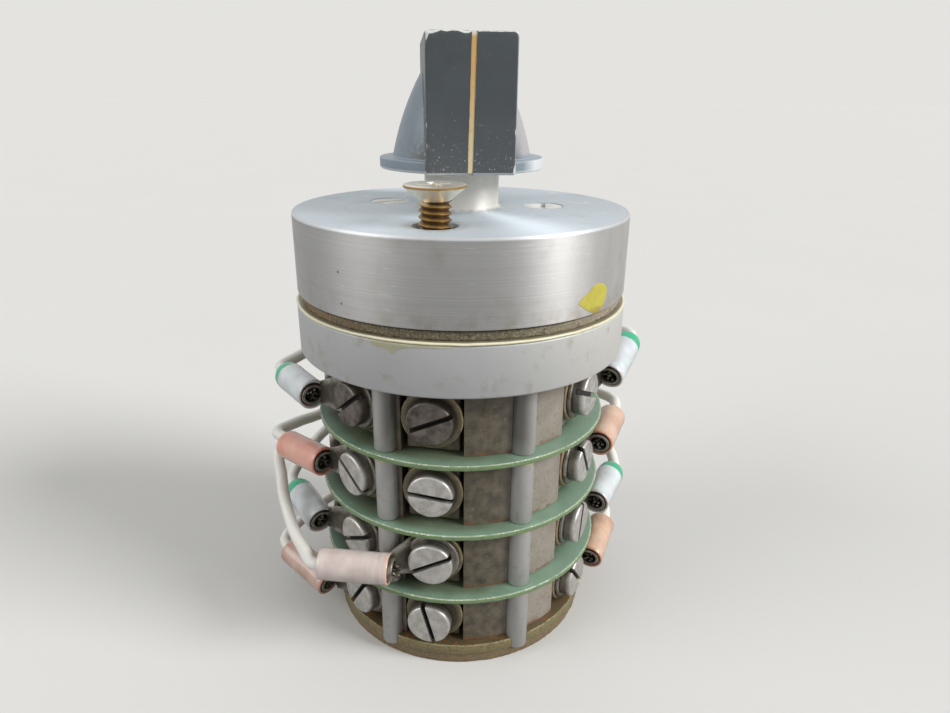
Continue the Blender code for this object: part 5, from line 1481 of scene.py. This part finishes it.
# %% The nine lugs
for name, (wafer, place, side, *_) in LUGS.items():
    azimuth = azimuth_of(place)
    terminal = facing_out(azimuth, LUG_SEAT, terminal_height(wafer))
    mouth = sleeve_mouth(name)
    ring = settle(turned("ring", RING_OUTLINE, 48), terminal)
    lip = -proud(name)
    tube_outline = [(BARREL - BARREL_WALL, lip), (BARREL - 0.1, lip), (BARREL, lip + 0.1)]
    tube_outline += [(BARREL, height) for height in OUTSIDE_LEVELS]
    tube_outline += [(BARREL - BARREL_WALL, height) for height in INSIDE_LEVELS]
    tube = turned("tube", tube_outline + tube_outline[:1], 32)
    # The barrel's inside, where the finish paints shade
    mark(tube, "inside", lambda place: float(across(place) < BARREL - 0.2 and place.z > 0.3))
    settle(push(tube, crimped), mouth)
    start = terminal @ (UP * LUG_THICK / 2 * MM) + sideways(azimuth) * side * NECK_START * MM
    inward = -outward(azimuth) * (BARREL - NECK_THICK) * MM
    end = mouth @ Vector((0, 0, 0.3 * MM)) + inward
    lug = gather(f"ring_lug_{name}", [ring, lug_neck(start, end, outward(azimuth)), tube])
    finished(lug, tin, "stack", "tinned_lug", f"lug_{name}")

# %% [markdown]
# The sleeves are soft plastic tubes slipped over the crimps: pink ones cut square, and clear white
# ones whose far ends are dipped in green. They are not quite round, so noise swells and pinches
# them along their length, and each vertex notes how far along the sleeve it is.

# %% Sleeve finishes
SLEEVE_RADIUS, SLEEVE_WALL, SLEEVE_LENGTH = 2.3, 0.4, 10.0
WHITE_SLEEVES = ("left_1", "left_3", "right_1", "right_3")
GREEN_FROM = 7.7
SHORTER = {"left_2": 0.07, "right_2": 0.14, "right_4": 0.14}
SOFT_PLASTIC = {
    "Subsurface_Weight": 0.3, "Subsurface_Scale": 1 * MM, "Coat_Weight": 0.6, "Coat_Roughness": 0.14,
}


def sleeve_plastic(name, light, shade, lip, tip=None):
    """Smooth soft plastic that is a little clear, with rings near its mouth and a paler underside."""
    soft = Finish(name, 0.3, **SOFT_PLASTIC)
    along = soft.noted("along")
    soft.ground(shade, light, soft.patches(3.2, 0.32, 0.6, 2.0))
    soft.layer(soft.fade(soft.noted("under"), 0.4, 1.5), (232, 216, 194), 0.5)
    waves = soft.math("SINE", soft.plus(soft.share(along, 7.0), soft.share(soft.cloud(2.0, 1.0), 4.0)))
    rings = soft.both(soft.fade(waves, 0.4, 1.0), soft.fade(along, 5.0, 1.0))
    soft.layer(rings, (244, 244, 242), 0.14)
    soft.blotches((150, 132, 114), 0.16, 1.4, 0.6, 0.72, seed=3.0)
    soft.layer(soft.fade(along, 0.7, 0.1), lip, 0.5)
    if tip:
        wavy = soft.plus(along, soft.share(soft.cloud(1.0), 0.5))
        soft.layer(soft.fade(wavy, GREEN_FROM, GREEN_FROM + 0.3), tip)
    soft.raise_by(rings, 0.005)
    return soft.done()


# The light and the dark colour of each sleeve, its lip and, where it has one, its dipped end
SLEEVE_COLOURS = {
    "white": ("white_sleeve", (234, 238, 240), (208, 212, 214), (206, 208, 208), (40, 186, 138)),
    "left_2": ("salmon_sleeve", (242, 186, 166), (230, 158, 138), (226, 124, 100)),
    "left_4": ("dull_pink_sleeve", (222, 192, 176), (194, 152, 134), (200, 136, 116)),
    "front_3": ("clear_pink_sleeve", (222, 208, 202), (200, 182, 174), (232, 176, 146)),
    "right_2": ("peach_sleeve_2", (234, 198, 174), (214, 168, 142), (214, 150, 116)),
    "right_4": ("peach_sleeve_4", (232, 196, 170), (206, 160, 134), (212, 136, 98)),
}
sleeve_finishes = {name: sleeve_plastic(*colours) for name, colours in SLEEVE_COLOURS.items()}


# %% Sleeves
def sleeve_outline(white):
    """From the mouth along the outside to the far end and back along the bore."""
    wide, bore, length = SLEEVE_RADIUS - 0.04, SLEEVE_RADIUS - SLEEVE_WALL, SLEEVE_LENGTH
    outside = [(wide, 0.12 + 0.5 * step) for step in range(16)]
    inside = [(bore, 8.0 - 0.8 * step) for step in range(10)]
    if white:
        bend = [(2.2, 8.5), (2.1, 9.1), (1.9, 9.55), (1.65, 9.85), (1.4, length)]
        bend += [(1.3, 9.85), (1.45, 9.2), (1.7, 8.6)]
    else:
        bend = [(wide, 8.4), (wide, 9.0), (wide, 9.5), (wide - 0.04, length - 0.1), (wide - 0.12, length)]
        bend += [(bore + 0.05, length), (bore, length - 0.1), (bore, 9.0)]
    mouth_rim = [(bore, 0.1), (bore + 0.1, 0.0), (wide - 0.1, 0.0)]
    return [(wide - 0.1, 0.0)] + outside + bend + inside + mouth_rim


SLEEVE_SWELL = 0.05


def soft_shape(seed):
    def rule(place):
        out = Vector((place.x, place.y, 0))
        swell = noise.noise(Vector((seed, 0, place.z * 0.55))) + noise.noise(place * 0.6 + UP * seed)
        return out.normalized() * (swell - 1) * SLEEVE_SWELL
    return rule


for seed, name in enumerate(LUGS):
    white = name in WHITE_SLEEVES
    tube = push(turned(f"soft_sleeve_{name}", sleeve_outline(white), 40), soft_shape(seed * 3.7))
    mark(tube, "along", lambda place: place.z)
    mark(tube, "under", lambda place: -place.y)
    push(tube, lambda place: UP * -SHORTER.get(name, 0.0) * place.z)
    settle(tube, sleeve_mouth(name))
    finish = sleeve_finishes["white" if white else name]
    slot = "white_sleeve" if white else "pink_sleeve"
    finished(tube, finish, "stack", slot, f"sleeve_{name}", smooth=50)

# %% [markdown]
# The five jumpers are single wires in cream insulation, each held at both ends by a lug. Their
# routes repeat the points of the CAD model: azimuth, distance beyond the discs' rim and height
# above the wire's first screw, all joined by one smooth curve.

# %% Routes of the jumpers
WIRE_RADIUS, WIRE_INWARD, WIRE_STRAIGHT, WIRE_SPACING = 0.9, 0.23, 1.1, 0.7
ROUTES = {
    "jumper_1": (("left_1", 0.3), ("right_1", 0), (
        (265.6, 6.9, -0.9), (256.5, 5.4, -0.6), (237.5, 4.7, 0.1), (209.6, 4.6, -0.3),
        (179.1, 4.5, -0.9), (149.6, 4.8, -0.1), (126.0, 5.1, 1.5), (110.2, 6.2, 3.1))),
    "jumper_2": (("left_2", 0.95), ("right_2", 0), (
        (271.9, 7.5, -0.1), (262.5, 5.4, -0.6), (251.0, 4.3, -1.6), (229.1, 3.8, -1.4),
        (202.2, 3.8, -0.6), (174.7, 4.0, -1.2), (147.6, 4.4, -0.8), (125.6, 4.7, 0.8),
        (108.3, 5.3, 2.0))),
    "jumper_3": (("left_2", -0.95), ("front_3", 0), (
        (278.1, 7.3, -3.2), (281.5, 6.9, -5.2), (285.6, 6.7, -7.6), (290.4, 6.3, -9.6),
        (296.9, 6.1, -10.8), (304.0, 6.0, -11.4))),
    "jumper_4": (("left_3", 0), ("right_3", 0), (
        (264.9, 6.9, 0.9), (257.0, 5.4, 3.7), (241.5, 4.3, 5.3), (215.0, 4.0, 4.1),
        (185.2, 4.2, 2.3), (155.9, 4.4, 1.7), (130.5, 4.7, 2.5), (110.8, 5.5, 3.1))),
    "jumper_5": (("left_4", 0), ("right_4", 0), (
        (270.8, 8.2, 0.2), (263.1, 6.1, 1.4), (249.2, 4.4, 1.7), (221.0, 4.1, 0.7),
        (189.2, 4.1, 0.0), (158.7, 4.3, 0.0), (132.6, 4.5, 0.7), (110.6, 5.2, 1.8))),
}


def sleeve_exit(name, offset):
    mouth = sleeve_mouth(name)
    levels = (BARREL_LENGTH + 0.3, SLEEVE_LENGTH - WIRE_STRAIGHT, SLEEVE_LENGTH + WIRE_STRAIGHT)
    return [mouth @ (Vector((0, offset, level)) * MM) for level in levels]


def smooth_route(knots, spacing):
    """Points at about this spacing, in metres, on one smooth curve through the knots."""
    padded = [knots[0] * 2 - knots[1], *knots, knots[-1] * 2 - knots[-2]]
    points = [knots[0]]
    for a, b, c, d in zip(padded, padded[1:], padded[2:], padded[3:]):
        steps = max(2, round((c - b).length / spacing))
        for step in range(1, steps + 1):
            t = step / steps
            bend = (2 * a - 5 * b + 4 * c - d) * t**2 + (3 * b - a - 3 * c + d) * t**3
            points.append(b + ((c - a) * t + bend) / 2)
    return points


print("points in each route", {name: len(route) for name, (start, end, route) in ROUTES.items()})


# %% Wires, as round curves made into meshes
def wire_insulation():
    cream = Finish("wire_insulation", 0.36, Subsurface_Weight=0.15, Subsurface_Scale=1 * MM)
    cream.ground((244, 241, 230), (253, 252, 246), cream.cloud(3.0, 4.0))
    cream.blotches((186, 170, 142), 0.25, 0.9, 0.62, 0.72, seed=3.0)
    cream.grain(0.5, 0.015)
    return cream.done()


def wire_along(name, points, radius, sides=4):
    curve = bpy.data.curves.new(name, "CURVE")
    curve.dimensions = "3D"
    curve.bevel_depth = radius * MM
    curve.bevel_resolution = sides
    curve.use_fill_caps = True
    spline = curve.splines.new("POLY")
    spline.points.add(len(points) - 1)
    for point, place in zip(spline.points, points):
        point.co = (*place, 1)
    wire = bpy.data.objects.new(name, curve)
    bpy.context.scene.collection.objects.link(wire)
    take(wire)
    bpy.ops.object.convert(target="MESH")
    return bpy.context.object


insulation = wire_insulation()
for name, (start, end, route) in ROUTES.items():
    knots = sleeve_exit(*start)
    level = terminal_height(LUGS[start[0]][0])
    for azimuth, out, up in route:
        knots.append((outward(azimuth) * (DISC_RADIUS + out - WIRE_INWARD) + UP * (level + up)) * MM)
    knots += reversed(sleeve_exit(*end))
    wire = wire_along("cream_" + name, smooth_route(knots, WIRE_SPACING * MM), WIRE_RADIUS)
    finished(wire, insulation, "stack", "wire_cream", name, smooth=50)

# %% Bare strands where each wire leaves its crimp
STRANDS, STRAND_RADIUS = 9, 0.2
for seed, name in enumerate(LUGS):
    mouth, strands = sleeve_mouth(name), []
    loose_ends = name == "front_3"
    for number in range(STRANDS):
        shake = noise.noise(Vector((seed, number, 0)) * 1.7)
        out, turn = 0.3 * math.sqrt(number) + 0.12 * shake, 2.4 * number + shake
        tip = 0.35 * shake - (1.5 if loose_ends else 0.0)
        spread = (1.5 + shake) if loose_ends else 1.0
        path = []
        for share, height in ((0.9, 3.0), (1.0, 1.4), (1.0, 0.5), (spread, tip)):
            angle = turn + 0.35 * height
            place = Vector((math.cos(angle) * out * share, math.sin(angle) * out * share, height))
            path.append(mouth @ (place * MM))
        strands.append(wire_along("strand", path, STRAND_RADIUS, 1))
    finished(gather(f"strands_{name}", strands), copper, "stack", "tinned_lug", f"lug_{name}", smooth=50)

# %% [markdown]
# What is inside stays as the CAD model drew it: shaft, bushing, detent, rotors and wipers. They are
# seen only through gaps, but each gets a finish of its own metal or plastic.

# %% Finishes for the inner pieces
def plain_metal(name, first, second, roughness, metallic=0.85):
    metal = Finish(name, roughness, metallic)
    metal.ground(first, second, metal.cloud(1.5, 4.0))
    metal.grain(0.4, 0.015)
    metal.gloss(1.0, roughness - 0.08, roughness + 0.12)
    return metal.done()


inner_steel = plain_metal("inner_steel", (150, 150, 150), (196, 196, 194), 0.3)
inner_brass = plain_metal("inner_brass", (168, 132, 66), (206, 172, 98), 0.34)
inner_plastic = plain_metal("inner_plastic", (92, 66, 44), (128, 96, 66), 0.5, 0.0)
inner_spring = plain_metal("inner_spring", (120, 122, 126), (170, 172, 176), 0.28)
INNER = {"rotor": inner_plastic, "wiper": inner_brass, "detent": inner_spring, "shaft": inner_steel}
for node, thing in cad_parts.items():
    if thing.hide_render:
        continue
    finish = INNER.get(node.split("_")[0], inner_steel)
    if not thing.data.materials:
        thing.data.materials.append(finish)
    for slot in thing.material_slots:
        slot.material = finish
    print(node, "keeps its CAD shape")

# %% [markdown]
# A pale floor and a soft key light from the right, with the rest of the light from all round. The
# floor and the sky are only pale to the camera and in reflections, so they add no light.

# %% Floor
def pale_floor():
    """Pale to the camera; darker to all other rays, so it adds little light from below."""
    sheet = Finish("pale_floor", 0.75)
    sheet.ground((224, 223, 219), (227, 226, 223), sheet.cloud(60.0, 2.0))
    rays = sheet.node("ShaderNodeLightPath").outputs
    pale = sheet.colour
    sheet.colour = sheet.mix(rays["Is Glossy Ray"], (126, 126, 126), (176, 176, 175))
    sheet.layer(rays["Is Camera Ray"], pale)
    return sheet.done()


take(None)
FLOOR_SIZE = 24
bpy.ops.mesh.primitive_plane_add(size=FLOOR_SIZE)
floor = settle(bpy.context.object, Matrix.Identity(4))
floor.name = "pale_floor"
floor.data.materials.append(pale_floor())
print("the floor is", FLOOR_SIZE, "m wide")

# %% Sky
SKY_LIGHT, SKY_GLOSS, SKY_SEEN = 0.44, 0.7, (228, 227, 224)
sky = bpy.data.worlds.new("soft_sky")
bpy.context.scene.world = sky
sky.use_nodes = True
tree = sky.node_tree
tree.nodes.clear()
path = tree.nodes.new("ShaderNodeLightPath")
background = tree.nodes.new("ShaderNodeBackground")
colour = (SKY_LIGHT,) * 3 + (1,)
for ray, seen in (("Is Glossy Ray", (SKY_GLOSS,) * 3 + (1,)), ("Is Camera Ray", paint(*SKY_SEEN))):
    mixed = tree.nodes.new("ShaderNodeMix")
    mixed.data_type = "RGBA"
    tree.links.new(path.outputs[ray], mixed.inputs[0])
    if isinstance(colour, tuple):
        mixed.inputs[6].default_value = colour
    else:
        tree.links.new(colour, mixed.inputs[6])
    mixed.inputs[7].default_value = seen
    colour = mixed.outputs[2]
tree.links.new(colour, background.inputs["Color"])
output = tree.nodes.new("ShaderNodeOutputWorld")
tree.links.new(background.outputs[0], output.inputs["Surface"])
print("the sky shows at about", SKY_SEEN)


# %% Lamps
def soft_sun(name, power, softness, direction):
    """A far lamp that shines along a direction, with a soft edge to its shadow."""
    lamp = bpy.data.lights.new(name, "SUN")
    lamp.energy = power
    lamp.angle = math.radians(softness)
    made = bpy.data.objects.new(name, lamp)
    bpy.context.scene.collection.objects.link(made)
    made.rotation_euler = Vector(direction).to_track_quat("-Z", "Y").to_euler()
    return made


def shining(azimuth, rise):
    """The direction of light that comes from an azimuth, at an angle above level."""
    rise = math.radians(rise)
    return -outward(azimuth) * math.cos(rise) - UP * math.sin(rise)


# Each lamp's power, its softness in degrees and where it shines from
LAMPS = {"key": (2.5, 26, shining(71, 31)), "fill": (1.0, 40, shining(-70, 30))}
for name, lamp in LAMPS.items():
    soft_sun(name, *lamp)
print("lamps", ", ".join(LAMPS))
